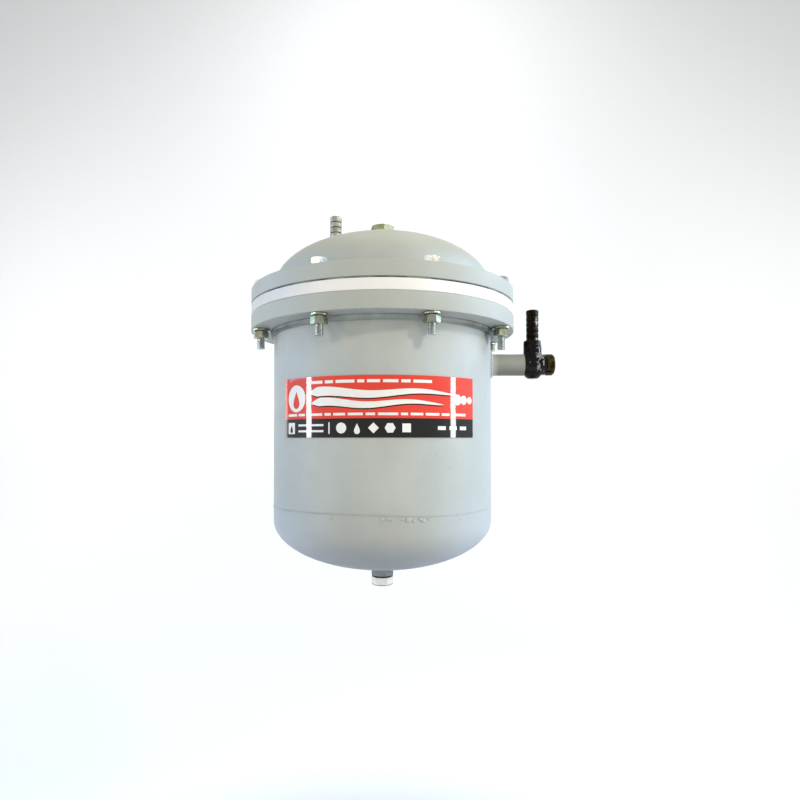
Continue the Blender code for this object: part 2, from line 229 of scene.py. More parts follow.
def simple_ring(name, node, body, finish, edge, bore, steps=ROUND, at=(0, 0, 0)):
    """A turned ring that fills a CAD ring's box, with softened edges."""
    low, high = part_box(node)
    profile = ring((high.x - low.x) / 2, bore, low.z, high.z, edge)
    return turned(name, profile, body, finish, node, steps, at=at)


def lay_down(made, x):
    """Turn a piece that was made along Z to lie along the side pipe, starting at x."""
    made.data.transform(Matrix.Translation((x, 0, PIPE_Z)) @ Matrix.Rotation(math.pi / 2, 4, "Y"))


def cylinder(radius, low, high, at=(0, 0, 0), axis="Z", sides=ROUND):
    """A plain capped cylinder, used as a cutter."""
    shape = bmesh.new()
    turn = Matrix.Rotation(math.pi / 2, 4, "Y") if axis == "X" else Matrix.Identity(4)
    middle = Matrix.Translation(at) @ turn @ Matrix.Translation((0, 0, (low + high) / 2))
    bmesh.ops.create_cone(shape, cap_ends=True, segments=sides, radius1=radius,
                          radius2=radius, depth=high - low, matrix=middle)
    mesh = bpy.data.meshes.new("cutter")
    shape.to_mesh(mesh)
    shape.free()
    return link("cutter", mesh)


def bake(made):
    """Apply an object's modifiers to its mesh."""
    bpy.context.view_layer.update()
    view = bpy.context.evaluated_depsgraph_get()
    done = bpy.data.meshes.new_from_object(made.evaluated_get(view))
    old, made.data = made.data, done
    done.name = old.name
    bpy.data.meshes.remove(old)
    made.modifiers.clear()


def combine(made, tools, operation, sharp):
    """Cut a piece with other closed meshes or unite it with them, and remove those."""
    for tool in tools:
        change = made.modifiers.new("combine", "BOOLEAN")
        change.operation = operation
        change.solver = "EXACT"
        change.object = tool
    bake(made)
    for tool in tools:
        bpy.data.objects.remove(tool)
    smooth(made.data, sharp)


def drill(made, cutters, sharp=38):
    """Cut a list of cutters out of a piece."""
    combine(made, cutters, "DIFFERENCE", sharp)


def drill_bolt_holes(made, low, high):
    drill(made, [cylinder(HOLE_R, low - MM, high + MM, at, sides=32) for _, _, at in bolt_spots()])


def join_mesh(made, verts, faces, shift=(0, 0, 0)):
    """Unite another closed mesh with a piece."""
    mesh = bpy.data.meshes.new("joined")
    mesh.from_pydata([tuple(v) for v in verts], [], faces)
    tool = link("joined", mesh)
    tool.location = shift
    combine(made, [tool], "UNION", 32)


def bolt_spots():
    """Each bolt's number, its angle round the vessel and its place.

    The bolts are evenly spaced, with the front in the middle between the last and the first.
    """
    front, step = -math.pi / 2, math.tau / len(BOLT_TURNS)
    for i in range(len(BOLT_TURNS)):
        angle = front + (i + 0.5) * step
        low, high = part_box(f"nut_{i + 1}")
        middle = (low + high) / 2
        yield i + 1, angle, Vector((middle.x, middle.y, 0))


def tube_round(path, radius_at, sides=12):
    """A round bead along a closed path of points, whose radius varies along it."""
    verts = []
    for i, point in enumerate(path):
        ahead = (path[(i + 1) % len(path)] - path[i - 1]).normalized()
        side = ahead.cross(Vector((0, 0, 1)))
        side = side.normalized() if side.length > 1e-6 else Vector((1, 0, 0))
        up = side.cross(ahead)
        for k in range(sides):
            a = math.tau * k / sides
            verts.append(point + (side * math.cos(a) + up * math.sin(a)) * radius_at(i, a))
    return verts, quads(len(path), sides)


def weld(name, path, size, body, ripple=0.16, pitch=2.6 * MM):
    """A hand-laid weld bead: stacked ripples with an uneven width."""
    lengths = [0.0]
    for a, b in zip(path, path[1:]):
        lengths.append(lengths[-1] + (b - a).length)

    def radius_at(i, _):
        run = lengths[i] / pitch
        uneven = noise.noise(path[i] * 90) * 0.16
        crest = abs(math.sin(math.pi * (run + 0.6 * noise.noise(path[i] * 160))))
        return size * (1 + uneven + ripple * (crest - 0.6))

    verts, faces = tube_round(path, radius_at)
    return piece(name, verts, faces, body, PAINT, sharp=60)


def circle(radius, z, count, at=(0, 0)):
    """Points evenly round a level circle."""
    spots = (polar(radius, i * math.tau / count) for i in range(count))
    return [Vector((at[0] + x, at[1] + y, z)) for x, y, _ in spots]


# ---------------- material helpers

class Look:
    """A Principled material with short ways to add procedural detail to it."""

    def __init__(self, name, slot, colour, metallic=0.0, rough=0.5, **values):
        self.material = bpy.data.materials.new(name)
        self.material.use_nodes = True
        self.tree = self.material.node_tree
        self.shader = self.tree.nodes["Principled BSDF"]
        self.finish = self.material, slot
        self.tone = colour
        self.coords = self.node("ShaderNodeTexCoord", {}).outputs["Object"]
        self.x, self.y, self.z = self.node("ShaderNodeSeparateXYZ", {0: self.coords}).outputs
        self.radius = self.length(self.x, self.y)
        self.set("Base Color", (*colour, 1))
        self.set("Metallic", metallic)
        self.set("Roughness", rough)
        for key, value in values.items():
            self.set(key.replace("_", " ").title().replace("Ior", "IOR"), value)

    def set(self, socket, value):
        self.shader.inputs[socket].default_value = value

    def node(self, kind, inputs, **settings):
        made = self.tree.nodes.new(kind)
        for key, value in settings.items():
            setattr(made, key, value)
        for key, value in inputs.items():
            self.feed(made.inputs[key], value)
        return made

    def feed(self, socket, value):
        if isinstance(value, bpy.types.NodeSocket):
            self.tree.links.new(value, socket)
        else:
            socket.default_value = value

    def noise(self, scale, detail=3.0, rough=0.55, stretch=(1, 1, 1)):
        spot = self.node("ShaderNodeMapping", {"Vector": self.coords, "Scale": stretch}).outputs[0]
        inputs = {"Vector": spot, "Scale": scale, "Detail": detail, "Roughness": rough}
        return self.node("ShaderNodeTexNoise", inputs).outputs["Fac"]

    def math(self, operation, a, b=0.0):
        return self.node("ShaderNodeMath", {0: a, 1: b}, operation=operation).outputs[0]

    def times(self, first, *others):
        for other in others:
            first = self.math("MULTIPLY", first, other)
        return first

    def length(self, a, b):
        return self.math("SQRT", self.math("ADD", self.times(a, a), self.times(b, b)))

    def between(self, value, low, high, to_low=0.0, to_high=1.0):
        inputs = {"Value": value, "From Min": low, "From Max": high,
                  "To Min": to_low, "To Max": to_high}
        made = self.node("ShaderNodeMapRange", inputs, interpolation_type="SMOOTHSTEP")
        return made.outputs["Result"]

    def spots(self, scale, detail, low, high, rough=0.55, stretch=(1, 1, 1)):
        """Noise as a mask, none below low and full above high."""
        return self.between(self.noise(scale, detail, rough, stretch), low, high)

    def mix(self, share, a, b):
        a, b = ((*c, 1) if isinstance(c, tuple) else c for c in (a, b))
        return self.node("ShaderNodeMix", {0: share, 6: a, 7: b}, data_type="RGBA").outputs[2]

    def upward(self):
        """How much a surface faces up, from -1 to 1."""
        normal = self.node("ShaderNodeNewGeometry", {}).outputs["Normal"]
        return self.node("ShaderNodeSeparateXYZ", {0: normal}).outputs[2]

    def tint(self, mask, colour, most=1.0):
        """Lay a colour over the tones so far where the mask says, at most to this share."""
        share = mask if most == 1.0 else self.times(mask, most)
        self.tone = self.mix(share, self.tone, colour)
        self.feed(self.shader.inputs["Base Color"], self.tone)

    def rough(self, scale, smoothest, roughest, low=0.3, high=0.7, detail=3):
        value = self.between(self.noise(scale, detail), low, high, smoothest, roughest)
        self.feed(self.shader.inputs["Roughness"], value)
        return value

    def bump(self, height, distance, strength=1.0, under=None):
        inputs = {"Strength": strength, "Distance": distance, "Height": height}
        if under:
            inputs["Normal"] = under
        normal = self.node("ShaderNodeBump", inputs).outputs["Normal"]
        self.feed(self.shader.inputs["Normal"], normal)
        return normal


# ---------------- the vessel's enamel

def seam_line(look):
    """A mask of the thin dirty line along the seam, broken up where paint has covered it."""
    front = look.between(look.y, -0.2 * SHELL_R, -1.0 * SHELL_R)
    left = look.between(look.x, 0.65 * SHELL_R, -0.15 * SHELL_R)
    rise = look.times(front, left, SEAM_CLIMB)
    off = look.math("SUBTRACT", look.math("SUBTRACT", look.z, SEAM_Z), rise)
    line = look.between(look.math("ABSOLUTE", off), 0.75 * MM, 0.2 * MM)
    broken = look.between(look.noise(24, 3), 0.40, 0.66, 0.0, 0.45)
    faded = look.between(look.x, 0.25 * SHELL_R, -0.1 * SHELL_R, 0.25, 1.0)
    return look.times(line, broken, faded)


def below_flange(look, outer, inner, reach, full):
    """A mask of the shell's outside, full just under the flange and none at reach below it.

    It fades with the distance from the wall, from inner to outer.
    """
    return look.times(
        look.between(look.radius, SHELL_R + outer, SHELL_R + inner),
        look.between(look.radius, SHELL_R - 2 * MM, SHELL_R - 1 * MM),
        look.between(look.z, FLANGE_Z - reach, FLANGE_Z - full),
        look.between(look.z, FLANGE_Z + 1.2 * MM, FLANGE_Z + 0.6 * MM))


def painted_crease_shade(look):
    """A mask of painted shade in the corner where the shell runs in under the vessel flange, stronger
    towards the sides.
    """
    aside = look.math("ABSOLUTE", look.x)
    side = look.between(aside, 0.5 * SHELL_R, 0.85 * SHELL_R, 0.45, 0.92)
    return look.times(side, below_flange(look, 4.6 * MM, 2.6 * MM, 6.5 * MM, 3.0 * MM))


def painted_bolt_shadow(look):
    """A mask of painted shadow on the shell behind the bolt at the front right, under the flange."""
    bolt = math.radians(69)
    gap = look.length(look.math("SUBTRACT", look.x, SHELL_R * math.sin(bolt)),
                      look.math("ADD", look.y, SHELL_R * math.cos(bolt)))
    width = look.between(look.z, FLANGE_Z - 17 * MM, FLANGE_Z, 2 * MM, 15 * MM)
    near = look.between(look.math("DIVIDE", gap, width), 1.0, 0.6)
    return look.times(near, below_flange(look, 5 * MM, 4 * MM, 17 * MM, 13 * MM))


def inner_side(look):
    """A mask of the vessel's inside, which water has stained: its wall and its dished bottom."""
    top = vessel_flange_high.z
    wall = look.times(
        look.between(look.radius, SHELL_R - 0.6 * WALL, SHELL_R - 0.9 * WALL),
        look.between(look.z, SEAM_Z - 2 * MM, SEAM_Z),
        look.between(look.z, top - 1 * MM, top - 6 * MM))
    across = look.math("DIVIDE", look.radius, SHELL_R - WALL)
    down = look.math("DIVIDE", look.math("SUBTRACT", HEAD_TANGENT_Z, look.z), HEAD_DEPTH - WALL)
    reach = look.length(across, look.math("MAXIMUM", down, 0.0))
    dish = look.times(look.between(reach, 1.022, 1.010),
                      look.between(look.z, SEAM_Z + 1 * MM, SEAM_Z - 1 * MM))
    return look.math("MAXIMUM", wall, dish)


def pipe_paint_and_shade(look):
    """The side pipe's duller, darker paint, partly painted shade, with more painted shade on its
    lower side.
    """
    tone = look.mix(look.spots(50, 4, 0.35, 0.65), (0.29, 0.30, 0.27), (0.33, 0.34, 0.31))
    # Painted shade: darker towards the pipe's lower side.
    return look.mix(look.between(look.z, PIPE_Z + 2 * MM, PIPE_Z - PIPE_R), tone, (0.19, 0.19, 0.16))


def enamel():
    """Light blue-grey enamel, brushed on thick, with dirt at the seam and drain and small chips;
    painted shade under the flange and low on the dish, painted light on the tops and sides.
    """
    look = Look("grey_enamel", "body_paint", (0.396, 0.430, 0.430), rough=0.5,
                specular_ior_level=0.32)
    patchy = look.spots(75, 5, 0.42, 0.72, 0.7)

    look.tint(look.spots(14, 5, 0.32, 0.68, 0.6), (0.452, 0.478, 0.466))
    look.tint(look.spots(60, 3, 0.45, 0.8, stretch=(1, 1, 0.12)), (0.48, 0.505, 0.50), 0.2)
    # Dust and painted light: up-facing paint is lighter and yellower.
    look.tint(look.between(look.upward(), 0.15, 0.9), (0.47, 0.465, 0.35), 0.8)
    on_flange = look.times(look.between(look.radius, SHELL_R + 4 * MM, SHELL_R + 9 * MM),
                           look.between(look.z, FLANGE_Z - 1 * MM, FLANGE_Z))
    look.tint(on_flange, (0.385, 0.39, 0.33), 0.35)

    # Painted shade with some dirt: a patchy dark band just under the vessel flange, which also
    # roughens the paint there.
    grime_and_shade = look.times(look.between(look.z, FLANGE_Z - 7.9 * MM, FLANGE_Z + 0.1 * MM),
                       look.between(look.z, FLANGE_Z + 1.1 * MM, FLANGE_Z + 0.1 * MM), 0.12, patchy)
    look.tint(grime_and_shade, (0.16, 0.15, 0.12))
    look.tint(seam_line(look), (0.15, 0.15, 0.14))
    # Painted shade: a dark corner where the shell meets the underside of the flange.
    look.tint(painted_crease_shade(look), (0.045, 0.055, 0.05))
    # Painted shadow: the front right bolt's shadow on the shell.
    look.tint(painted_bolt_shadow(look), (0.09, 0.115, 0.11), 0.8)

    # Painted light and shade low on the vessel: cool, bluish bounce light towards the sides, and a
    # darker grey in the middle.
    aside = look.between(look.math("ABSOLUTE", look.x), 0.25 * SHELL_R, 0.8 * SHELL_R)
    film = look.mix(aside, (0.345, 0.355, 0.345), (0.40, 0.455, 0.51))
    look.tint(look.between(look.z, SEAM_Z + 30 * MM, SEAM_Z - 25 * MM), film, 0.6)
    # Painted shade: darker towards the bottom of the dish.
    look.tint(look.between(look.z, 50 * MM, 20 * MM), (0.25, 0.245, 0.24), 0.55)
    at_drain = look.times(look.between(look.z, 26.0 * MM, 22.0 * MM),
                          look.between(look.radius, 16 * MM, 12.5 * MM))
    look.tint(at_drain, look.mix(patchy, (0.26, 0.29, 0.31), (0.13, 0.14, 0.13)))
    look.tint(inner_side(look), look.mix(patchy, (0.24, 0.23, 0.20), (0.30, 0.20, 0.12)))

    on_pipe = look.times(look.between(look.radius, SHELL_R + 3 * MM, SHELL_R + 9 * MM),
                         look.between(look.z, PIPE_Z + 1.3 * PIPE_R, PIPE_Z + 1.2 * PIPE_R))
    look.tint(on_pipe, pipe_paint_and_shade(look))
    look.tint(look.spots(420, 2, 0.745, 0.775, 0.5), (0.10, 0.075, 0.05), 0.6)

    rough = look.rough(30, 0.42, 0.56, detail=4)
    look.feed(look.shader.inputs["Roughness"], look.math("ADD", rough, look.times(grime_and_shade, 0.3)))
    peel = look.bump(look.noise(520, 2), 0.05 * MM, 0.35)
    look.bump(look.noise(38, 3, stretch=(1, 1, 0.5)), 0.5 * MM, 0.22, peel)
    return look.finish


# ---------------- metals

def zinc(name, bright, yellow, dark):
    """Zinc plate with a thin passivation, dulled where hands and spanners touched it."""
    look = Look(name, "zinc_plate", bright, 1.0, 0.3)
    look.tint(look.spots(140, 3, 0.32, 0.72), yellow)
    look.tint(look.spots(420, 3, 0.64, 0.80), dark)
    look.rough(260, 0.22, 0.36, 0.3, 0.75)
    look.bump(look.noise(700, 2), 0.02 * MM, 0.25)
    return look.finish


def nickel():
    """Bright plating gone slightly chalky, cream in places and dull at its lower face."""
    look = Look("bright_plating", "plated_steel", (0.94, 0.935, 0.90), 0.3, 0.4)
    look.tint(look.spots(220, 3, 0.5, 0.8), (0.86, 0.83, 0.68))
    look.tint(look.between(look.z, 1.6 * MM, 0.6 * MM), (0.42, 0.36, 0.24))
    look.rough(500, 0.34, 0.50, 0.3, 0.8)
    look.bump(look.noise(900, 2, stretch=(1, 1, 0.1)), 0.012 * MM, 0.25)
    return look.finish


def grey_steel():
    """Dull plated steel of the lid's hose tail, with painted shade darkening its grooves."""
    look = Look("dull_plated_steel", "plated_steel", (0.46, 0.45, 0.39), 0.5, 0.55,
                specular_ior_level=0.2)
    look.tint(look.spots(200, 4, 0.36, 0.7, 0.6), (0.27, 0.26, 0.18))
    # Painted shade: near black in the grooves between the rings.
    groove = look.between(look.radius, TAIL_R - 0.25 * MM, TAIL_R - 0.7 * MM)
    look.tint(groove, (0.05, 0.05, 0.05))
    look.rough(400, 0.46, 0.62)
    look.bump(look.noise(1200, 3), 0.03 * MM, 0.5)
    return look.finish


def brass(name, slot, bright, dull, rough):
    look = Look(name, slot, bright, 1.0, rough)
    look.tint(look.spots(180, 5, 0.38, 0.68, 0.65), dull)
    look.rough(350, rough - 0.08, rough + 0.12)
    look.bump(look.noise(1100, 3), 0.03 * MM, 0.5)
    return look.finish


def sooty_brass(name, slot, bright, share, rough=0.34, lit_side=None):
    """Old brass under a black residue, worn bare in spots; with lit_side, bare brass is also painted
    along one side as a painted glint.
    """
    look = Look(name, slot, (0.015, 0.011, 0.007), 1.0, rough, specular_ior_level=0.2)
    patches = look.noise(120, 4, 0.6)
    # Painted highlight: brighter bare brass on the lit side.
    if lit_side:
        patches = look.math("ADD", patches, look.times(lit_side(look), 0.16))
    bare = look.between(patches, share, share + 0.12)
    look.tint(bare, look.mix(look.spots(320, 3, 0.35, 0.7), bright, tuple(0.45 * c for c in bright)))
    look.rough(350, rough - 0.06, rough + 0.14)
    look.bump(look.noise(500, 3), 0.05 * MM, 0.5)
    return look.finish


def painted_glint_ridge(look):
    """A mask of the front right of the outlet tail's rings, where bare brass stands for a painted
    glint.
    """
    aside = look.math("DIVIDE", look.x, TAIL_R)
    front = look.between(look.y, -0.3 * TAIL_R, -0.6 * TAIL_R)
    return look.times(front, look.between(aside, 0.28, 0.42), look.between(aside, 0.72, 0.6))


# ---------------- rubber, tape and plastics

def rubber(name, dark, dusty, scale):
    look = Look(name, "black_rubber", dark, rough=0.7)
    look.tint(look.spots(scale, 4, 0.4, 0.7), dusty)
    look.bump(look.noise(1500, 2), 0.04 * MM, 0.5)
    return look.finish


def painted_tape_glints(look):
    """A mask of pale fold lines on the tee's right shoulder: painted glints on the tape."""
    area = look.times(
        look.between(look.x, TEE_AT.x + 1.5 * MM, TEE_AT.x + 4.5 * MM),
        look.between(look.x, TEE_AT.x + 10.5 * MM, TEE_AT.x + 8.5 * MM),
        look.between(look.y, -3 * MM, -6 * MM),
        look.between(look.z, PIPE_Z - 9 * MM, PIPE_Z - 5 * MM),
        look.between(look.z, PIPE_Z + 21 * MM, PIPE_Z + 15 * MM))
    off = look.math("ABSOLUTE", look.math("SUBTRACT", look.noise(130, 2, 0.5), 0.5))
    return look.times(area, look.between(off, 0.045, 0.015, 0.0, 0.8))


def tape():
    """Glossy black tape, stretched and wrinkled."""
    look = Look("black_tape", "black_tape", (0.003, 0.003, 0.004), rough=0.2,
                specular_ior_level=0.24)
    look.tint(look.spots(260, 5, 0.52, 0.8, 0.7), (0.018, 0.014, 0.010))
    # Painted highlights: pale fold lines on the tape.
    look.tint(painted_tape_glints(look), (0.40, 0.41, 0.43))
    look.set("Specular Tint", (1.0, 0.93, 0.86, 1))
    look.rough(90, 0.14, 0.26, 0.35, 0.75)
    look.bump(look.noise(70, 3, 0.5), 1.6 * MM, 0.9)
    return look.finish


def white_polymer():
    """The white plate, with faint turning marks, a few grey smudges of paint on its edge and painted
    shade towards its left side.
    """
    look = Look("white_polymer", "white_plate", (0.80, 0.80, 0.79), rough=0.42,
                subsurface_weight=0.08, subsurface_scale=0.004)
    look.tint(look.spots(46, 5, 0.62, 0.78, 0.7), (0.58, 0.60, 0.58), 0.35)
    # Painted shade: greyer towards the plate's left side.
    painted_left_shade = look.between(look.x, -0.15 * FLANGE_R, -0.70 * FLANGE_R)
    look.tint(painted_left_shade, (0.56, 0.54, 0.53), 0.8)
    look.rough(120, 0.34, 0.5)
    inputs = {"Vector": look.coords, "Scale": 260, "Distortion": 1.5}
    turning = look.node("ShaderNodeTexWave", inputs, bands_direction="Z")
    look.bump(turning.outputs["Fac"], 0.03 * MM, 0.3)
    return look.finish


def plastic(name, slot, colour, dark):
    look = Look(name, slot, colour, rough=0.42)
    look.tint(look.spots(60, 4, 0.35, 0.7), dark)
    look.rough(240, 0.36, 0.52)
    look.bump(look.noise(900, 2), 0.04 * MM, 0.35)
    return look.finish


def pleat_cloth():
    """Non-woven membrane: matted fibres, with painted shade a little darker deep in the folds."""
    look = Look("pleated_membrane", "pleated_media", (0.84, 0.84, 0.80), rough=0.9,
                sheen_weight=0.25, sheen_roughness=0.5)
    fibre = look.spots(2600, 4, 0.3, 0.7, 0.7)
    look.tint(fibre, (0.92, 0.92, 0.90))
    # Painted shade: darker towards the inner edge of the pleats.
    look.tint(look.between(look.radius, 72.5 * MM, 60 * MM), (0.60, 0.59, 0.54), 0.35)
    look.bump(fibre, 0.08 * MM, 0.6)
    return look.finish


def print_ink(name, colour, dark, height=None):
    """Glossy printed film. With a height, the film is dark below it."""
    look = Look(name, "label_film", colour, rough=0.4, specular_ior_level=0.1,
                coat_weight=1.0, coat_roughness=0.03)
    look.tint(look.spots(35, 3, 0.3, 0.7), tuple(0.93 * c for c in colour))
    if height:
        look.tint(look.between(look.z, height + 0.1 * MM, height - 0.1 * MM), dark)
    look.bump(look.noise(26, 2), 0.5 * MM, 0.05)
    return look.finish


PAINT = enamel()
ZINC = zinc("zinc_bright", (0.62, 0.65, 0.65), (0.48, 0.50, 0.45), (0.28, 0.29, 0.24))
# Lit and shaded copies of zinc: the bolts get the lighter one, the nuts and washers under the flange
# a darker, olive one as painted shade.
SHADED_NUT_ZINC = zinc("zinc_olive_shaded", (0.52, 0.56, 0.46), (0.38, 0.41, 0.28), (0.22, 0.24, 0.16))
NICKEL = nickel()
STEEL = grey_steel()
BRASS = brass("dull_brass", "brass", (0.42, 0.40, 0.24), (0.29, 0.285, 0.17), 0.58)
BRONZE = sooty_brass("tarnished_brass", "tarnished_brass", (0.085, 0.056, 0.017), 0.40, 0.5)
SOOTY = sooty_brass("sooty_brass", "tarnished_brass", (0.19, 0.19, 0.13), 0.61, 0.34, painted_glint_ridge)
RUBBER = rubber("sealing_rubber", (0.018, 0.018, 0.018), (0.045, 0.043, 0.04), 400)
GASKET = rubber("gasket_sheet", (0.05, 0.05, 0.05), (0.26, 0.26, 0.27), 45)
TAPE = tape()
WHITE = white_polymer()
BLUE = plastic("blue_polypropylene", "cap_plastic", (0.10, 0.22, 0.42), (0.08, 0.18, 0.36))
CORE = plastic("core_plastic", "core_plastic", (0.74, 0.75, 0.75), (0.66, 0.67, 0.66))
MEDIA = pleat_cloth()
RED, BLACK = (0.74, 0.052, 0.030), (0.005, 0.006, 0.006)
FILM = print_ink("label_print", RED, BLACK, LABEL_BREAK_Z)
INK_WHITE = print_ink("label_white", (0.86, 0.86, 0.85), BLACK)
INK_RED = print_ink("label_red", RED, BLACK)
INK_BLACK = print_ink("label_black", BLACK, BLACK)


# ---------------- vessel

def head_profile(tangent, rim, depth, hole, way):
    """A dished head of the wall's thickness: way is -1 when it bulges down, +1 when up."""
    def arc(radius, height):
        last = math.acos(hole / radius)
        return [(radius * math.cos(last * i / 28), tangent + way * height * math.sin(last * i / 28))
                for i in range(29)]
    outer, inner = arc(SHELL_R, depth), arc(SHELL_R - WALL, depth - WALL)
    points = [(SHELL_R, rim)] + outer + inner[::-1] + [(SHELL_R - WALL, rim)]
    return points if way < 0 else points[::-1]


def bulge(far, depth):
    """How deep a dished head is at a distance from its axis."""
    return depth * math.sqrt(1 - min(far / SHELL_R, 1) ** 2)


def make_shell():
    levels = np.linspace(shell_high.z, shell_low.z, 46)
    outer = [(SHELL_R, z) for z in levels]
    inner = [(SHELL_R - WALL, z) for z in levels[::-3]]
    verts, faces = lathe(outer + inner, DENSE)
    verts = wobble(verts, 0.22 * MM, 14, 1.0)
    verts = wobble(verts, 0.05 * MM, 70, 2.0)
    shell = piece("shell_skin", verts, faces, "vessel", PAINT, ["vessel_shell"])
    drill(shell, [cylinder(PIPE_R - 0.1 * MM, -20 * MM, 20 * MM, (SHELL_R, 0, PIPE_Z), "X")])

    hole_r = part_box("drain_socket")[1].y
    profile = head_profile(HEAD_TANGENT_Z, shell_low.z - 0.02 * MM, HEAD_DEPTH, hole_r, -1)
    turned("bottom_head_skin", profile, "vessel", PAINT, "bottom_head", DENSE, (0.22 * MM, 14, 1.0))


SEAM_PATCHES = (
    # degrees round the vessel, then in mm: rise, half-width, half-height, how proud
    (-87.0, -2.2, 2.6, 1.7, 0.9), (-84.3, -1.4, 2.2, 1.5, 0.8), (-82.6, -3.4, 1.4, 1.1, 0.7),
    (-78.2, -1.8, 2.4, 1.2, 0.6), (-75.5, -2.6, 3.0, 2.0, 1.1), (-72.9, -3.8, 1.5, 1.2, 0.8),
    (-70.2, -1.7, 1.6, 1.4, 0.7), (-68.6, -3.3, 2.6, 1.4, 0.9), (-66.0, -2.5, 1.2, 1.0, 0.5),
    (-110.8, -2.0, 1.6, 1.6, 0.5), (-50.0, -0.3, 4.0, 0.6, 0.4), (-48.0, -4.3, 3.0, 0.7, 0.4),
    (-43.0, 0.2, 3.5, 0.6, 0.4), (-42.0, -4.0, 2.6, 0.7, 0.4), (20, -1.0, 4.0, 1.5, 0.6),
    (96, -1.2, 5.0, 1.6, 0.7), (140, -1.0, 3.0, 1.5, 0.5), (168, -0.8, 4.0, 1.4, 0.6),
)


def smooth_step(value):
    value = min(max(value, 0.0), 1.0)
    return value * value * (3 - 2 * value)


def seam_rise(x, y):
    """The seam isn't level: it climbs a little towards the front, left of the middle."""
    front = smooth_step((-y / SHELL_R - 0.2) / 0.8)
    left = smooth_step((0.65 - x / SHELL_R) / 0.8)
    return SEAM_CLIMB * front * left


def make_seam():
    """The round seam between shell and bottom head: ground nearly flush, patched at the front."""
    path, proud = [], []
    for p in circle(SHELL_R, SEAM_Z, 900):
        ragged = noise.noise(Vector((p.x, p.y, 0.3)) * 170)
        wander = noise.noise(Vector((p.x, p.y, 2.0)) * 30)
        path.append(p + Vector((0, 0, seam_rise(p.x, p.y) + 0.3 * wander * MM)))
        proud.append((0.05 + 0.05 * ragged, 0.7 + 0.2 * wander))

    def radius_at(i, a):
        out, up = proud[i]
        return math.hypot(out * math.cos(a), up * math.sin(a)) * MM

    verts, faces = tube_round(path, radius_at, 14)
    piece("seam_weld", verts, faces, "vessel", PAINT, sharp=60)
    for i, patch in enumerate(SEAM_PATCHES):
        make_patch(f"seam_patch_{i + 1}", *patch)


def make_patch(name, degrees, rise, wide, tall, proud):
    """A low, uneven blob of weld on the seam, sunk halfway in the wall."""
    angle = math.radians(degrees)
    out, along = Vector(polar(1, angle)), Vector((-math.sin(angle), math.cos(angle), 0))
    rings, steps, verts = 12, 28, []
    middle = out * SHELL_R + Vector((0, 0, SEAM_Z + rise * MM))
    middle.z += seam_rise(middle.x, middle.y) * 0.3
    for j in range(rings + 1):
        fall = math.pi * j / rings
        for i in range(steps):
            s, z, r = polar(math.sin(fall), math.tau * i / steps, math.cos(fall))
            lump = 1 + 0.45 * noise.noise(Vector((s * 1.6, z * 1.6, degrees)))
            shift = along * (s * wide * lump) + Vector((0, 0, z * tall * lump)) + out * (r * proud)
            curve = SHELL_R - math.sqrt(SHELL_R ** 2 - (s * wide * lump * MM) ** 2)
            verts.append(middle + shift * MM - out * curve)
    piece(name, verts, quads(rings + 1, steps, loop=False), "vessel", PAINT, sharp=60)


def make_welds():
    make_seam()
    weld("shell_flange_weld", circle(SHELL_R + 0.4 * MM, FLANGE_Z - 1.2 * MM, 900), 3.3 * MM,
         "vessel", ripple=0.08, pitch=3.2 * MM)
    lid_flange_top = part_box("lid_flange")[1].z
    weld("lid_flange_weld", circle(SHELL_R + 0.5 * MM, lid_flange_top + 0.6 * MM, 700), 3.0 * MM,
         "lid", pitch=3.2 * MM)

    socket_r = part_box("drain_socket")[1].y
    ring_z = HEAD_TANGENT_Z - bulge(socket_r, HEAD_DEPTH)
    weld("drain_weld", circle(socket_r + 0.2 * MM, ring_z, 160), 1.5 * MM, "vessel", pitch=2 * MM)
    boss_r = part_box("lid_boss")[1].y
    ring_z = DOME_TANGENT_Z + bulge(boss_r, DOME_HEIGHT) + 0.3 * MM
    weld("boss_weld", circle(boss_r + 0.3 * MM, ring_z, 180), 2.2 * MM, "lid")

    low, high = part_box("lid_tail_boss")
    path = circle((high.x - low.x) / 2 + 0.2 * MM, 0, 140, TAIL_AT)
    for p in path:
        p.z = DOME_TANGENT_Z + bulge(math.hypot(p.x, p.y), DOME_HEIGHT)
    weld("tail_boss_weld", path, 1.6 * MM, "lid", pitch=2 * MM)
    make_pipe_weld()


def make_pipe_weld():
    """The fillet round the side pipe, whose sections lie across the pipe's outline."""
    verts, sides, count = [], 12, 180
    for i in range(count):
        y, z, _ = polar(PIPE_R + 0.5 * MM, math.tau * i / count)
        point = Vector((math.sqrt(SHELL_R ** 2 - y ** 2) + 0.5 * MM, y, PIPE_Z + z))
        out = Vector((0, y, z)).normalized()
        ripple = 1 + 0.16 * abs(math.sin(i * 0.42)) + 0.18 * noise.noise(point * 120)
        for k in range(sides):
            across, ahead, _ = polar(1.7 * MM * ripple, math.tau * k / sides)
            verts.append(point + out * across + Vector((ahead, 0, 0)))
    piece("pipe_weld", verts, flipped(quads(count, sides)), "vessel", PAINT, sharp=60)


def make_flange(name, node, bore, body, seed):
    """A thick plate ring with softened edges, a slightly uneven rim and eight bolt holes."""
    low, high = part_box(node)
    profile = rounded([(FLANGE_R, high.z), (FLANGE_R, (high.z + low.z) / 2), (FLANGE_R, low.z),
                       (bore, low.z), (bore, high.z)], 0.9 * MM, 4)
    made = turned(name, profile, body, PAINT, node, DENSE, (0.25 * MM, 22, seed))
    drill_bolt_holes(made, low.z, high.z)
    return made


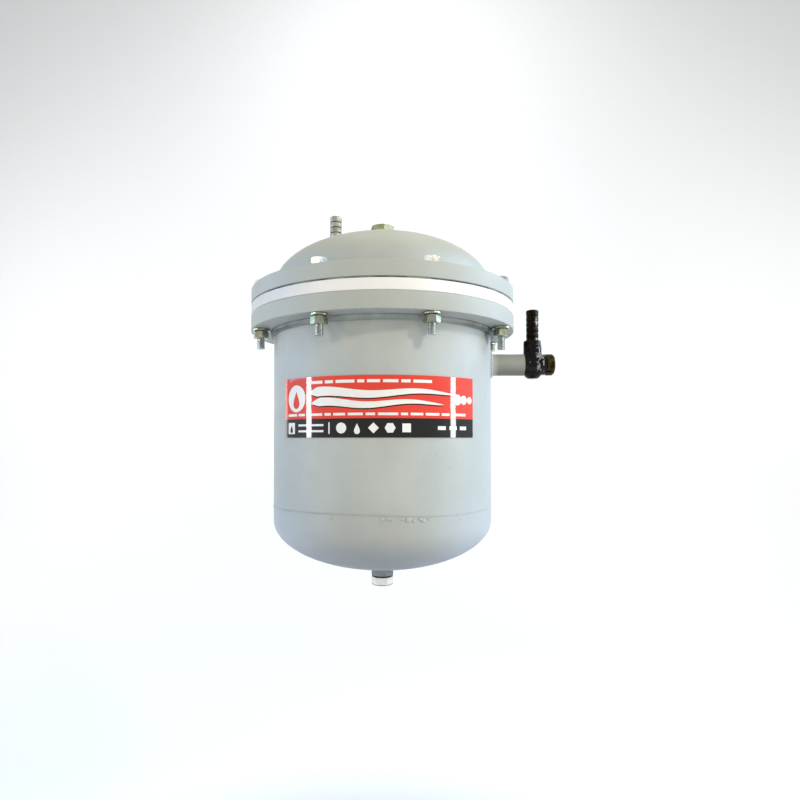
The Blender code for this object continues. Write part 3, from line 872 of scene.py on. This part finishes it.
def make_flanges():
    vessel = make_flange("vessel_flange_ring", "vessel_flange", SHELL_R - 0.1 * MM, "vessel", 5.0)
    ring_low, ring_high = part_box("flange_o_ring")
    middle, half, deep, cord_r = ring_high.x - 1.1 * MM, 2 * MM, 2.8 * MM, 1.25 * MM
    top = vessel_flange_high.z
    outline = [(middle + half, top + MM), (middle + half, top - deep), (middle - half, top - deep),
               (middle - half, top + MM)]
    drill(vessel, [piece("groove", *lathe(outline, DENSE), "vessel", PAINT)])
    section = [polar(cord_r, -a) for a in np.linspace(0, math.tau, 17)[:-1]]
    section = [(middle + r, (ring_low.z + ring_high.z) / 2 + z) for r, z, _ in section]
    turned("o_ring", section, "vessel", RUBBER, "flange_o_ring")
    make_flange("lid_flange_ring", "lid_flange", SHELL_R - WALL, "lid", 9.0)


def make_drain():
    bore = 8.3 * MM
    simple_ring("drain_socket_ring", "drain_socket", "vessel", PAINT, 0.5 * MM, bore)
    simple_ring("drain_washer", "drain_seal", "vessel", RUBBER, 0.3 * MM, bore)

    low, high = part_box("drain_plug")
    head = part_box("drain_socket")[0].z - 1.8 * MM
    verts, faces = hex_solid((high.y - low.y) / 2, low.z, head, chamfer_low=True, crown=1.0)
    turn = Matrix.Rotation(math.radians(30), 3, "Z")
    verts = [turn @ Vector(v) for v in verts]
    plug = piece("drain_plug_bright", verts, faces, "drain_plug", NICKEL, ["drain_plug"], sharp=30)
    join_mesh(plug, *thread(8.0 * MM, 1.34 * MM, head - 0.5 * MM, high.z))


# ---------------- threads, hexagons, hose tails

def thread(radius, pitch, low, high, steps=32, depth=0.61):
    """A solid threaded rod along Z: a cylinder whose radius follows a helix."""
    rows = max(int((high - low) / pitch * 6), 4)
    verts = []
    for j in range(rows + 1):
        z = high + (low - high) * j / rows
        fade = min(1.0, (high - z) / pitch + 0.15, (z - low) / pitch + 0.15)
        for i in range(steps):
            cut = abs(2 * ((z / pitch - i / steps) % 1.0) - 1)
            r = radius - depth * pitch * (1 - cut) * fade - 0.2 * pitch * (1 - fade)
            verts.append(polar(r, math.tau * i / steps, z))
    return verts, flipped(rod_faces(rows + 1, steps))


def hex_solid(apothem, low, high, bore=0.0, chamfer_low=False, chamfer_high=False, crown=0.955,
              pitch=30):
    """A hexagon with its corners turned off at a slope, as on a nut or a bolt's head."""
    steps, slope = 72, math.tan(math.radians(pitch))
    crown *= apothem
    verts = []
    for i in range(steps):
        a = math.tau * i / steps
        off = (a + math.pi / 6) % (math.pi / 3) - math.pi / 6
        corner = apothem / math.cos(off)
        drop = (corner - crown) * slope
        points = [(bore + 0.5 * MM if bore else 0.0, high)]
        points += [(crown, high), (corner, high - drop)] if chamfer_high else [(corner, high)]
        points += [(corner, low + drop), (crown, low)] if chamfer_low else [(corner, low)]
        if bore:
            points += [(bore + 0.5 * MM, low), (bore, low + 0.5 * MM), (bore, high - 0.5 * MM)]
        else:
            points += [(0.0, low)]
        verts += [polar(r, a, z) for r, z in points]
    return verts, quads(steps, len(points), wrap=bool(bore))


def tail_profile(root, top, bore, stem_low, stem_r):
    """A ringed hose tail: rounded rings with narrow grooves between them."""
    pitch, groove = 5.6 * MM, 0.8 * MM
    points = [(bore + 0.4 * MM, top), (TAIL_R - 1.0 * MM, top), (TAIL_R - 0.25 * MM, top - 0.5 * MM),
              (TAIL_R, top - 1.3 * MM)]
    z = top - pitch - 0.5 * MM
    while z > root + pitch / 2:
        points += [(TAIL_R, z + 1.0 * MM), (TAIL_R - 0.2 * MM, z + 0.45 * MM),
                   (TAIL_R - groove, z + 0.25 * MM), (TAIL_R - groove, z - 0.25 * MM),
                   (TAIL_R - 0.2 * MM, z - 0.5 * MM), (TAIL_R, z - 1.0 * MM)]
        z -= pitch
    points += [(TAIL_R, root), (stem_r, root), (stem_r, stem_low), (bore, stem_low),
               (bore, top - 0.4 * MM)]
    return points


def make_tails():
    bore, stem_r = 4.0 * MM, 5.2 * MM
    hex_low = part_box("lid_tail_boss")[1].z + 0.3 * MM
    hex_high = hex_low + 6 * MM
    profile = tail_profile(hex_high - MM, tail_high.z, bore, tail_low.z, stem_r)
    tail = turned("lid_tail_ringed", profile, "lid", STEEL, "lid_hose_tail", ROUND, at=TAIL_AT)
    verts, faces = hex_solid(7.5 * MM, hex_low, hex_high, bore + 0.4 * MM, False, True)
    join_mesh(tail, verts, faces, TAIL_AT)

    profile = tail_profile(outlet_low.z + 10.3 * MM, outlet_high.z, bore, outlet_low.z, stem_r)
    turned("outlet_tail_ringed", profile, "vessel", SOOTY, "outlet_hose_tail", ROUND,
           (0.12 * MM, 260, 4.0), TEE_AT)


def make_fasteners():
    """Hexagon bolts with rolled threads, chamfered nuts and washers with a stamped edge."""
    low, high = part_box("bolt_1")
    nut_low, nut_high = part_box("nut_1")
    apothem, shank_r = 6.5 * MM, 3.85 * MM
    under, stem_top = high.z - 5.3 * MM, low.z + 26 * MM
    head = hex_solid(apothem, under, high.z, chamfer_high=True)
    shank = lathe([(0, under + MM), (shank_r, under + MM), (shank_r, stem_top - 1.2 * MM),
                   (3.3 * MM, stem_top - 1.8 * MM), (0, stem_top - 1.8 * MM)], 24, closed=False)
    nut = hex_solid(apothem, nut_low.z, nut_high.z, 4.0 * MM, True, True)

    for i, angle, spot in bolt_spots():
        head_turn, nut_turn = (math.radians(t) for t in BOLT_TURNS[i - 1])
        bolt = piece(f"bolt_{i}_zinc", *head, "lid", ZINC, sharp=25)
        join_mesh(bolt, *shank)
        join_mesh(bolt, *thread(3.9 * MM, 1.25 * MM, low.z - BOLT_EXTRA.get(i, 0), stem_top, 24))
        settle(bolt, spot, head_turn, f"bolt_{i}")
        made = piece(f"nut_{i}_zinc", *nut, f"nut_{i}", SHADED_NUT_ZINC, sharp=25)
        settle(made, spot, nut_turn, f"nut_{i}")
        flat_low, flat_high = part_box(f"nut_washer_{i}")
        washer = lathe(ring(8.2 * MM, 4.2 * MM, flat_low.z, flat_high.z, 0.35 * MM), 48)
        made = piece(f"nut_washer_{i}_zinc", *washer, "vessel", SHADED_NUT_ZINC)
        settle(made, spot, angle, f"nut_washer_{i}")


def settle(made, spot, angle, node):
    """Move a piece's mesh to a bolt's place, so that its object stays at the origin."""
    made.data.transform(Matrix.Translation(spot) @ Matrix.Rotation(angle, 4, "Z"))
    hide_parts(node)


# ---------------- side pipe

def make_side_pipe():
    low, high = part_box("side_pipe")
    profile = ring(PIPE_R, 8 * MM, 0, high.x - low.x, 0.3 * MM)
    dense = []
    for (r0, z0), (r1, z1) in zip(profile, profile[1:] + profile[:1]):
        share = np.linspace(0, 1, max(int(abs(z1 - z0) / (2 * MM)), 1), endpoint=False)
        dense += [(r0 + (r1 - r0) * t, z0 + (z1 - z0) * t) for t in share]
    pipe = turned("side_pipe_tube", dense, "vessel", PAINT, "side_pipe", ROUND,
                  (0.25 * MM, 60, 3.0))
    lay_down(pipe, low.x)
    make_tee()
    make_tape()
    make_end_plug()


def make_tee():
    """The small tee under the tape, with a rounded foot below its branch."""
    low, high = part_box("tee_body")
    bore = 8.05 * MM
    profile = ring(9.8 * MM, bore, 0, high.x - low.x, 0.5 * MM)
    tee = turned("tee_casting", profile, "vessel", BRASS, "tee_body", ROUND)
    lay_down(tee, low.x)
    foot, seat = low.z, high.z - 9 * MM
    branch = [(0, foot), (3.6 * MM, foot + 0.15 * MM), (6.0 * MM, foot + 1.2 * MM),
              (7.4 * MM, foot + 3.2 * MM), (7.8 * MM, foot + 5.6 * MM), (7.8 * MM, high.z),
              (5.6 * MM, high.z), (5.6 * MM, seat), (0, seat)]
    join_mesh(tee, *lathe(branch[::-1], ROUND, closed=False), TEE_AT)
    drill(tee, [cylinder(bore, low.x - 10 * MM, high.x + 10 * MM, (0, 0, PIPE_Z), "X"),
                cylinder(4 * MM, PIPE_Z, high.z, TEE_AT)])


def wrapped_rod(radius, length, turns, seed, dome=False):
    """A rod wound with tape: overlapping edges climb it as a shallow helix, with creases."""
    steps, rows = 96, max(int(length / (0.45 * MM)), 8)
    verts = []
    for j in range(rows + 1):
        t = j / rows
        for i in range(steps):
            a = math.tau * i / steps
            ridge = 0.3 * MM * ((t * turns - i / steps) % 1.0)
            point = Vector(polar(radius, a, t * length))
            fold = noise.noise(Vector((point.x * 80, point.y * 80, point.z * 140 + seed)))
            dent = noise.noise(point * 75 + Vector((seed, 0, 0)))
            r = radius - 0.30 * MM + ridge + 0.55 * MM * fold + 0.75 * MM * dent
            if dome:
                r *= math.sqrt(1 - 0.72 * (max(0.0, 0.15 - t) / 0.15) ** 2)
            verts.append(polar(r, a, t * length))
    return verts, rod_faces(rows + 1, steps)


def make_tape():
    """Black tape wound tightly round the tee and up its branch, fused into one skin."""
    low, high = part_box("tape_wrap")
    verts, faces = wrapped_rod(high.y - 0.3 * MM, high.x - low.x, 3.2, 4.0)
    made = piece("tape_skin", verts, faces, "vessel", TAPE, ["tape_wrap"], sharp=180)
    lay_down(made, low.x)
    verts, faces = wrapped_rod(9.0 * MM, high.z - low.z, 4.3, 11.0, dome=True)
    join_mesh(made, verts, faces, (TEE_AT.x, 0, low.z))
    change = made.modifiers.new("fuse", "REMESH")
    change.mode = "VOXEL"
    change.voxel_size = 0.36 * MM
    change.use_smooth_shade = True
    soften = made.modifiers.new("soften", "SMOOTH")
    soften.factor = 0.5
    soften.iterations = 2
    bake(made)
    hollow = [cylinder(9.9 * MM, low.x - 10 * MM, high.x + 10 * MM, (0, 0, PIPE_Z), "X"),
              cylinder(7.9 * MM, PIPE_Z, high.z + 10 * MM, TEE_AT)]
    drill(made, hollow, 50)


def make_end_plug():
    """The tee's end plug: a chamfered round head with a hexagon socket."""
    low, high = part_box("end_plug")
    tee_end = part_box("tee_body")[1].x
    face, stem_end = high.x - tee_end, low.x - tee_end
    radius = high.y
    profile = rounded([(0, face), (radius - 1.9 * MM, face), (radius, face - 1.9 * MM),
                       (radius, 0.3 * MM), (7.6 * MM, 0.3 * MM), (7.6 * MM, stem_end),
                       (0, stem_end)], 0.35 * MM, closed=False)
    plug = turned("end_plug_head", profile, "end_plug", BRONZE, "end_plug", ROUND,
                  (0.1 * MM, 300, 8.0), closed=False)
    lay_down(plug, tee_end)
    drill(plug, [cylinder(5.2 * MM, high.x - 4.5 * MM, high.x + 2 * MM, (0, 0, PIPE_Z), "X", 6)])


# ---------------- lid

def make_lid():
    boss_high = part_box("lid_boss")[1]
    profile = head_profile(DOME_TANGENT_Z, dome_low.z, DOME_HEIGHT, boss_high.y, 1)
    dome = turned("dome_skin", profile, "lid", PAINT, "lid_dome", DENSE, (0.25 * MM, 16, 6.0))
    tail_boss_low, tail_boss_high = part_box("lid_tail_boss")
    tail_boss_r = (tail_boss_high.x - tail_boss_low.x) / 2
    reach = 50 * MM
    drill(dome, [cylinder(tail_boss_r, 350 * MM - reach, 350 * MM + reach, TAIL_AT)])
    simple_ring("lid_boss_ring", "lid_boss", "lid", PAINT, 0.8 * MM, 10.1 * MM)
    simple_ring("tail_boss_ring", "lid_tail_boss", "lid", PAINT, 0.6 * MM, 5.6 * MM, at=TAIL_AT)

    plug_low, plug_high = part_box("vent_plug")
    head_z = boss_high.z + 0.2 * MM
    head = hex_solid(11 * MM, head_z, plug_high.z, chamfer_high=True, crown=0.97, pitch=24)
    plug = piece("vent_plug_head", *head, "vent_plug", BRASS, ["vent_plug"], sharp=25)
    join_mesh(plug, *thread(9.8 * MM, 1.8 * MM, plug_low.z, head_z + MM, 48))
    plug.data.transform(Matrix.Rotation(math.radians(12), 4, "Z"))


# ---------------- plate and cartridge

def make_plate():
    plate_low, plate_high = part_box("tube_plate")
    bore, radius = 24.5 * MM, plate_high.x
    low, high = plate_low.z - 0.2 * MM, plate_high.z
    profile = rounded([(radius, high), (radius, (low + high) / 2), (radius, low),
                       (bore, low), (bore, high)], 0.35 * MM, 4)
    plate = turned("tube_plate_white", profile, "cartridge", WHITE, "tube_plate", DENSE,
                   (0.22 * MM, 30, 12.0))
    drill_bolt_holes(plate, low, high)

    gasket_low, gasket_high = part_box("lid_gasket")
    low, high = gasket_low.z - 0.2 * MM, gasket_high.z + 0.2 * MM
    profile = ring(FLANGE_R - 0.7 * MM, SHELL_R - WALL, low, high, 0.2 * MM)
    gasket = turned("lid_gasket_sheet", profile, "cartridge", GASKET, "lid_gasket", DENSE,
                    (0.35 * MM, 45, 15.0))
    drill_bolt_holes(gasket, low, high)


def make_cartridge():
    cap_low, cap_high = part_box("cartridge_top_cap")
    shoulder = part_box("neck_seal")[0].z - 0.3 * MM
    cap_r, neck_r, bore, steps = cap_high.x, 24 * MM, 18 * MM, 160
    profile = rounded([(neck_r - 1.2 * MM, shoulder + 4 * MM), (neck_r - 1.2 * MM, shoulder),
                       (cap_r - 9 * MM, shoulder), (cap_r - 9 * MM, shoulder - 2 * MM),
                       (cap_r, shoulder - 2 * MM), (cap_r, cap_low.z), (bore, cap_low.z),
                       (bore, shoulder + 4 * MM)], 0.6 * MM)
    cap = turned("top_cap_moulding", profile, "cartridge", BLUE, "cartridge_top_cap", steps)
    join_mesh(cap, *thread(neck_r, 3 * MM, shoulder + 1 * MM, cap_high.z, 96, 0.35))
    drill(cap, [cylinder(bore, cap_low.z - MM, cap_high.z + MM, sides=96)])

    simple_ring("neck_gasket", "neck_seal", "cartridge", RUBBER, 0.5 * MM, 24.6 * MM, 96)
    make_ring_nut()
    make_pleats()
    wear(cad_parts["core_tube"], CORE)

    low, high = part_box("cartridge_bottom_cap")
    profile = rounded([(0, high.z), (cap_r, high.z), (cap_r, low.z + 2 * MM),
                       (cap_r - 2 * MM, low.z), (34 * MM, low.z), (32 * MM, low.z + 3 * MM),
                       (0, low.z + 3 * MM)], 0.7 * MM, closed=False)
    turned("bottom_cap_moulding", profile, "cartridge", BLUE, "cartridge_bottom_cap", steps,
           closed=False)


def make_ring_nut():
    """A hand nut with six rounded grips."""
    low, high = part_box("ring_nut")
    steps, bore = 192, 24.6 * MM
    verts = []
    for i in range(steps):
        a = math.tau * i / steps
        grip = 0.5 + 0.5 * math.cos(6 * a)
        outer = high.x - 4.2 * MM * grip ** 2.2
        verts += [polar(r, a, z) for r, z in ring(outer, bore, low.z, high.z, 1.2 * MM)]
    faces = quads(steps, len(verts) // steps)
    piece("ring_nut_grip", verts, faces, "ring_nut", BLUE, ["ring_nut"])


def make_pleats():
    """One folded sheet that runs in and out between the core and the outside of the pack."""
    low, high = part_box("filter_media")
    outer, inner, folds, thick = 72.3 * MM, 31.8 * MM, 84, 0.7 * MM
    line = []
    for i in range(folds):
        a, half = math.tau * i / folds, math.pi / folds
        for share, radius in ((-0.24, outer - 0.6 * MM), (0, outer), (0.24, outer - 0.6 * MM),
                              (0.86, inner + 0.6 * MM), (1, inner), (1.14, inner + 0.6 * MM)):
            line.append(Vector(polar(radius, a + share * half)[:2]))
    count, rows = len(line), 14
    verts = []
    for side in (0.5, -0.5):
        for j in range(rows + 1):
            z = low.z + (high.z - low.z) * j / rows
            for i, p in enumerate(line):
                ahead = (line[(i + 1) % count] - line[i - 1]).normalized()
                across = Vector((ahead.y, -ahead.x))
                sway = noise.noise(Vector((p.x * 30, p.y * 30, z * 22))) * 0.4 * MM
                turn = across * (side * thick) + Vector((-p.y, p.x)).normalized() * sway
                verts.append((p.x + turn.x, p.y + turn.y, z))
    layer, top = (rows + 1) * count, rows * count
    faces = quads(rows + 1, count, loop=False)
    faces += [face[::-1] for face in quads(rows + 1, count, layer, loop=False)]
    faces += hem(list(range(count)), layer) + hem(list(range(top, top + count))[::-1], layer)
    piece("pleated_sheet", verts, faces, "cartridge", MEDIA, ["filter_media"], sharp=60)


# ---------------- label

def film_point(s, z, lift):
    """A point of the label, s metres along the curve from its middle, lift above the shell."""
    return polar(LABEL_R + lift, -math.pi / 2 + s / LABEL_R, z)


def make_label():
    columns, rows = 120, 12
    verts = []
    for lift in (0.42 * MM, 0.12 * MM):
        for j in range(rows + 1):
            z = label_low.z + (label_high.z - label_low.z) * j / rows
            for i in range(columns + 1):
                s = -LABEL_HALF + 2 * LABEL_HALF * i / columns
                ripple = 0.05 * MM * noise.noise(Vector((s * 60, 0, z * 60)))
                verts.append(film_point(s, z, lift + ripple))
    wide, tall = columns + 1, rows + 1
    layer = tall * wide
    faces = quads(tall, wide, loop=False, wrap=False)
    faces += flipped(quads(tall, wide, layer, loop=False, wrap=False))
    starts = range(0, layer, wide)
    edge = [*range(wide)] + [a + columns for a in starts[1:]]
    edge += [*range(layer - wide, layer - 1)][::-1] + [*starts[1:-1]][::-1]
    faces += hem(edge, layer)
    piece("label_film", verts, faces, "vessel", FILM, ["label"], sharp=30)
    make_print()


def disc(s, z, radius, sides=48):
    return [(s + radius * math.cos(a), z + radius * math.sin(a))
            for a in np.linspace(0, math.tau, sides, endpoint=False)]


def drop(s, z, size):
    """A water drop: a round belly that runs up into a point."""
    points = []
    for a in np.linspace(0, math.tau, 40, endpoint=False):
        narrow = (math.sin(a / 2)) ** 1.6
        points.append((s + size * narrow * math.sin(a), z + size * 1.25 * math.cos(a)))
    return points


def bar(s0, s1, z0, z1):
    return [(s0, z0), (s1, z0), (s1, z1), (s0, z1)]


def wave(s0, s1, z, thick, swell):
    """A flowing band that tapers towards its right end."""
    top, bottom = [], []
    for t in np.linspace(0, 1, 60):
        s = s0 + (s1 - s0) * t
        middle = z + swell * math.sin(math.tau * (1.6 * t + 0.06)) * (1 - 0.35 * t)
        half = thick / 2 * (1 - t) ** 0.55 * min(1, 12 * t + 0.25)
        top.append((s, middle + half))
        bottom.append((s, middle - half))
    return bottom + top[::-1]


def dashes(start, end, z, tall):
    """A row of plain dashes of a few lengths, to fill a narrow line of the print."""
    lengths, out, s = (13, 8, 17, 6, 11), [], start
    while s + 6 * MM < end:
        long = min(lengths[len(out) % len(lengths)] * MM, end - s)
        out.append(bar(s, s + long, z - tall / 2, z + tall / 2))
        s += long + 2.4 * MM
    return out


def make_print():
    """Plain shapes on the label: waves and drops on red, icons and bars on black."""
    def left(inset):
        return -LABEL_HALF + inset * MM

    def right(inset):
        return LABEL_HALF - inset * MM

    red_mid = (LABEL_BREAK_Z + label_high.z) / 2
    white = [disc(left(18), red_mid, 12 * MM)]
    shadow, swell = [], 1.8 * MM
    for row, (rise, thick) in enumerate(((3.6, 8.5), (-5.4, 7.5))):
        start, end, z = left(35 + 3 * row), right(24 + 12 * row), red_mid + rise * MM
        shadow.append(wave(start + 0.8 * MM, end, z - 1.1 * MM, thick * MM, swell))
        white.append(wave(start, end, z, thick * MM, swell))
    for i, size in enumerate((4.8, 4.0, 3.2)):
        white.append(disc(right(21 - 8 * i), red_mid - 1.5 * MM, size * MM))
    white += dashes(left(36), right(44), label_high.z - 5.0 * MM, 2.6 * MM)
    white += dashes(left(6), right(8), LABEL_BREAK_Z + 3.6 * MM, 2.2 * MM)

    middle = (label_low.z + LABEL_BREAK_Z) / 2
    bars = [(left(6), left(16), 0, 10), (left(55), left(56.2), 0, 10)]
    bars += [(left(21), left(50), rise, 1.8) for rise in (-2.6, 2.6)]
    bars += [(right(42 - 12 * i), right(34 - 12 * i), 0, 3.2) for i in range(3)]
    white += [bar(s0, s1, middle + (rise - tall / 2) * MM, middle + (rise + tall / 2) * MM)
              for s0, s1, rise, tall in bars]
    icons = (disc, lambda s, z, r: drop(s, z - 0.6 * MM, 0.8 * r), lambda s, z, r: disc(s, z, r, 4),
             lambda s, z, r: disc(s, z, r, 6),
             lambda s, z, r: bar(s - 0.8 * r, s + 0.8 * r, z - 0.8 * r, z + 0.8 * r))
    for i, icon in enumerate(icons):
        white.append(icon(left(67 + 14 * i), middle, 4.6 * MM))
    print_layer("print_shadow", shadow, INK_BLACK, 0.45 * MM)
    print_layer("print_white", white, INK_WHITE, 0.50 * MM)
    red_drop = drop(left(18), red_mid - 1.2 * MM, 6.2 * MM)
    print_layer("print_detail_red", [red_drop], INK_RED, 0.55 * MM)
    black_drop = drop(left(11), middle - 0.6 * MM, 2.8 * MM)
    print_layer("print_detail_black", [black_drop], INK_BLACK, 0.55 * MM)


def print_layer(name, outlines, finish, lift):
    """Flat outlines, cut into narrow strips and bent round the shell as a thin closed film."""
    flat = bmesh.new()
    for outline in outlines:
        flat.faces.new([flat.verts.new((s, z, 0)) for s, z in outline])
    for s in np.arange(-LABEL_HALF, LABEL_HALF, 2 * MM):
        geometry = list(flat.verts) + list(flat.edges) + list(flat.faces)
        bmesh.ops.bisect_plane(flat, geom=geometry, dist=1e-7, plane_co=(s, 0, 0),
                               plane_no=(1, 0, 0))
    bmesh.ops.triangulate(flat, faces=flat.faces)
    bmesh.ops.recalc_face_normals(flat, faces=flat.faces)
    for face in flat.faces:
        if face.normal.z < 0:
            face.normal_flip()
    thick = 0.04 * MM
    base = list(flat.faces)
    copy = bmesh.ops.extrude_face_region(flat, geom=base)
    moved = {v for v in copy["geom"] if isinstance(v, bmesh.types.BMVert)}
    for v in flat.verts:
        v.co = film_point(v.co.x, v.co.y, lift if v in moved else lift - thick)
    bmesh.ops.delete(flat, geom=[f for f in base if f.is_valid], context="FACES_KEEP_BOUNDARY")
    mesh = bpy.data.meshes.new(name)
    flat.to_mesh(mesh)
    flat.free()
    place(name, mesh, "vessel", finish, sharp=30)


# ---------------- stage, light and camera

CAMERA_SIDE = math.radians(3.0)
CAMERA_FAR = 603.3 * MM
CAMERA_Z = 148.2 * MM
CAMERA_TILT = math.radians(1.07)


def from_camera(side, far, height):
    """A place round the vessel, side degrees to the right of the camera as seen from it."""
    a = CAMERA_SIDE + math.radians(side)
    return Vector((far * math.sin(a), -far * math.cos(a), height))


def make_camera():
    data = bpy.data.cameras.new("camera")
    data.sensor_width = 36
    data.lens = 26.46
    data.shift_x = 0.0220
    data.shift_y = 0.0347
    camera = link("camera", data)
    camera.location = from_camera(0, CAMERA_FAR, CAMERA_Z)
    camera.rotation_euler = (math.pi / 2 + CAMERA_TILT, 0, CAMERA_SIDE)
    bpy.context.scene.camera = camera


def area_light(name, at, size, power, colour, look_at):
    data = bpy.data.lights.new(name, "AREA")
    data.shape = "RECTANGLE"
    data.size, data.size_y = size
    data.energy = power
    data.color = colour
    made = link(name, data)
    made.location = at
    made.rotation_euler = (Vector(look_at) - Vector(at)).to_track_quat("-Z", "Y").to_euler()
    return made


WALL_Y = 2.6


def make_stage():
    """A pale floor that curves up into a wall behind, with a painted bluish shadow that darkens it
    below the object.
    """
    floor_z, wall_top, front, width, sweep = -0.62, 5.0, -6.0, 8.0, 1.0
    line = [(front, floor_z)]
    line += [(WALL_Y - sweep + sweep * math.sin(a), floor_z + sweep - sweep * math.cos(a))
             for a in np.linspace(0, math.pi / 2, 16)]
    line.append((WALL_Y, wall_top))
    verts = [(x, y, z) for x in (-width, width) for y, z in line]
    mesh = bpy.data.meshes.new("backdrop")
    mesh.from_pydata(verts, [], flipped(quads(2, len(line), loop=False, wrap=False)))
    mesh.shade_smooth()
    look = Look("backdrop_paper", "body_paint", (0.93, 0.93, 0.93), rough=0.9)
    # Painted shadow: the floor is darker and bluish below the object.
    look.tint(look.between(look.radius, 0.85, 0.25), (0.19, 0.24, 0.38))
    mesh.materials.append(look.material)
    link("backdrop", mesh)


WHITE_LIGHT = (1, 1, 1)
LIGHTS = (
    # name, degrees right of the camera, distance, height, size, aimed at, power, colour
    ("key_right", 43, 1.65, 1.05, (0.14, 0.14), 0.19, 10.4, (1.0, 0.90, 0.66)),
    ("fill_right", 20, 1.7, 0.25, (1.0, 0.6), 0.19, 5.0, (1.0, 0.885, 0.58)),
    ("side_right", 90, 1.5, 0.90, (1.0, 1.0), 0.19, 24.5, (0.50, 0.71, 1.0)),
    ("side_left", -88, 1.5, 0.82, (1.0, 1.0), 0.19, 9.6, (0.25, 0.58, 1.0)),
    ("front_left", -50, 1.6, 0.62, (0.3, 0.3), 0.19, 3.4, (1.0, 0.84, 0.6)),
    ("strip_left", -75, 1.2, 0.24, (0.13, 0.3), 0.24, 2.4, WHITE_LIGHT),
    ("strip_right", 71.5, 1.2, 0.24, (0.13, 0.3), 0.24, 2.4, WHITE_LIGHT),
)
WALL_LIGHTS = ((-2.3, 0.9, 0.7), (2.3, 0.9, 0.7), (0.0, 1.2, 2.6))


def make_light():
    world = bpy.data.worlds.new("studio")
    bpy.context.scene.world = world
    world.use_nodes = True
    background = world.node_tree.nodes["Background"]
    background.inputs["Color"].default_value = (*WHITE_LIGHT, 1)
    background.inputs["Strength"].default_value = 0.46
    for name, side, far, height, size, aim, power, colour in LIGHTS:
        made = area_light(name, from_camera(side, far, height), size, power, colour, (0, 0, aim))
        # The broad fill would show as a haze on the glossy label.
        made.visible_glossy = not name.startswith("fill")
    for i, at in enumerate(WALL_LIGHTS):
        target = (0.55 * at[0], WALL_Y, 0.45)
        area_light(f"wall_light_{i}", at, (1.2, 1.2), 13.5, WHITE_LIGHT, target)
    scene = bpy.context.scene
    scene.view_settings.view_transform = "Standard"
    scene.view_settings.look = "None"


make_camera()
make_light()
make_stage()
make_shell()
make_welds()
make_flanges()
make_drain()
make_side_pipe()
make_lid()
make_tails()
make_fasteners()
make_plate()
make_cartridge()
make_label()
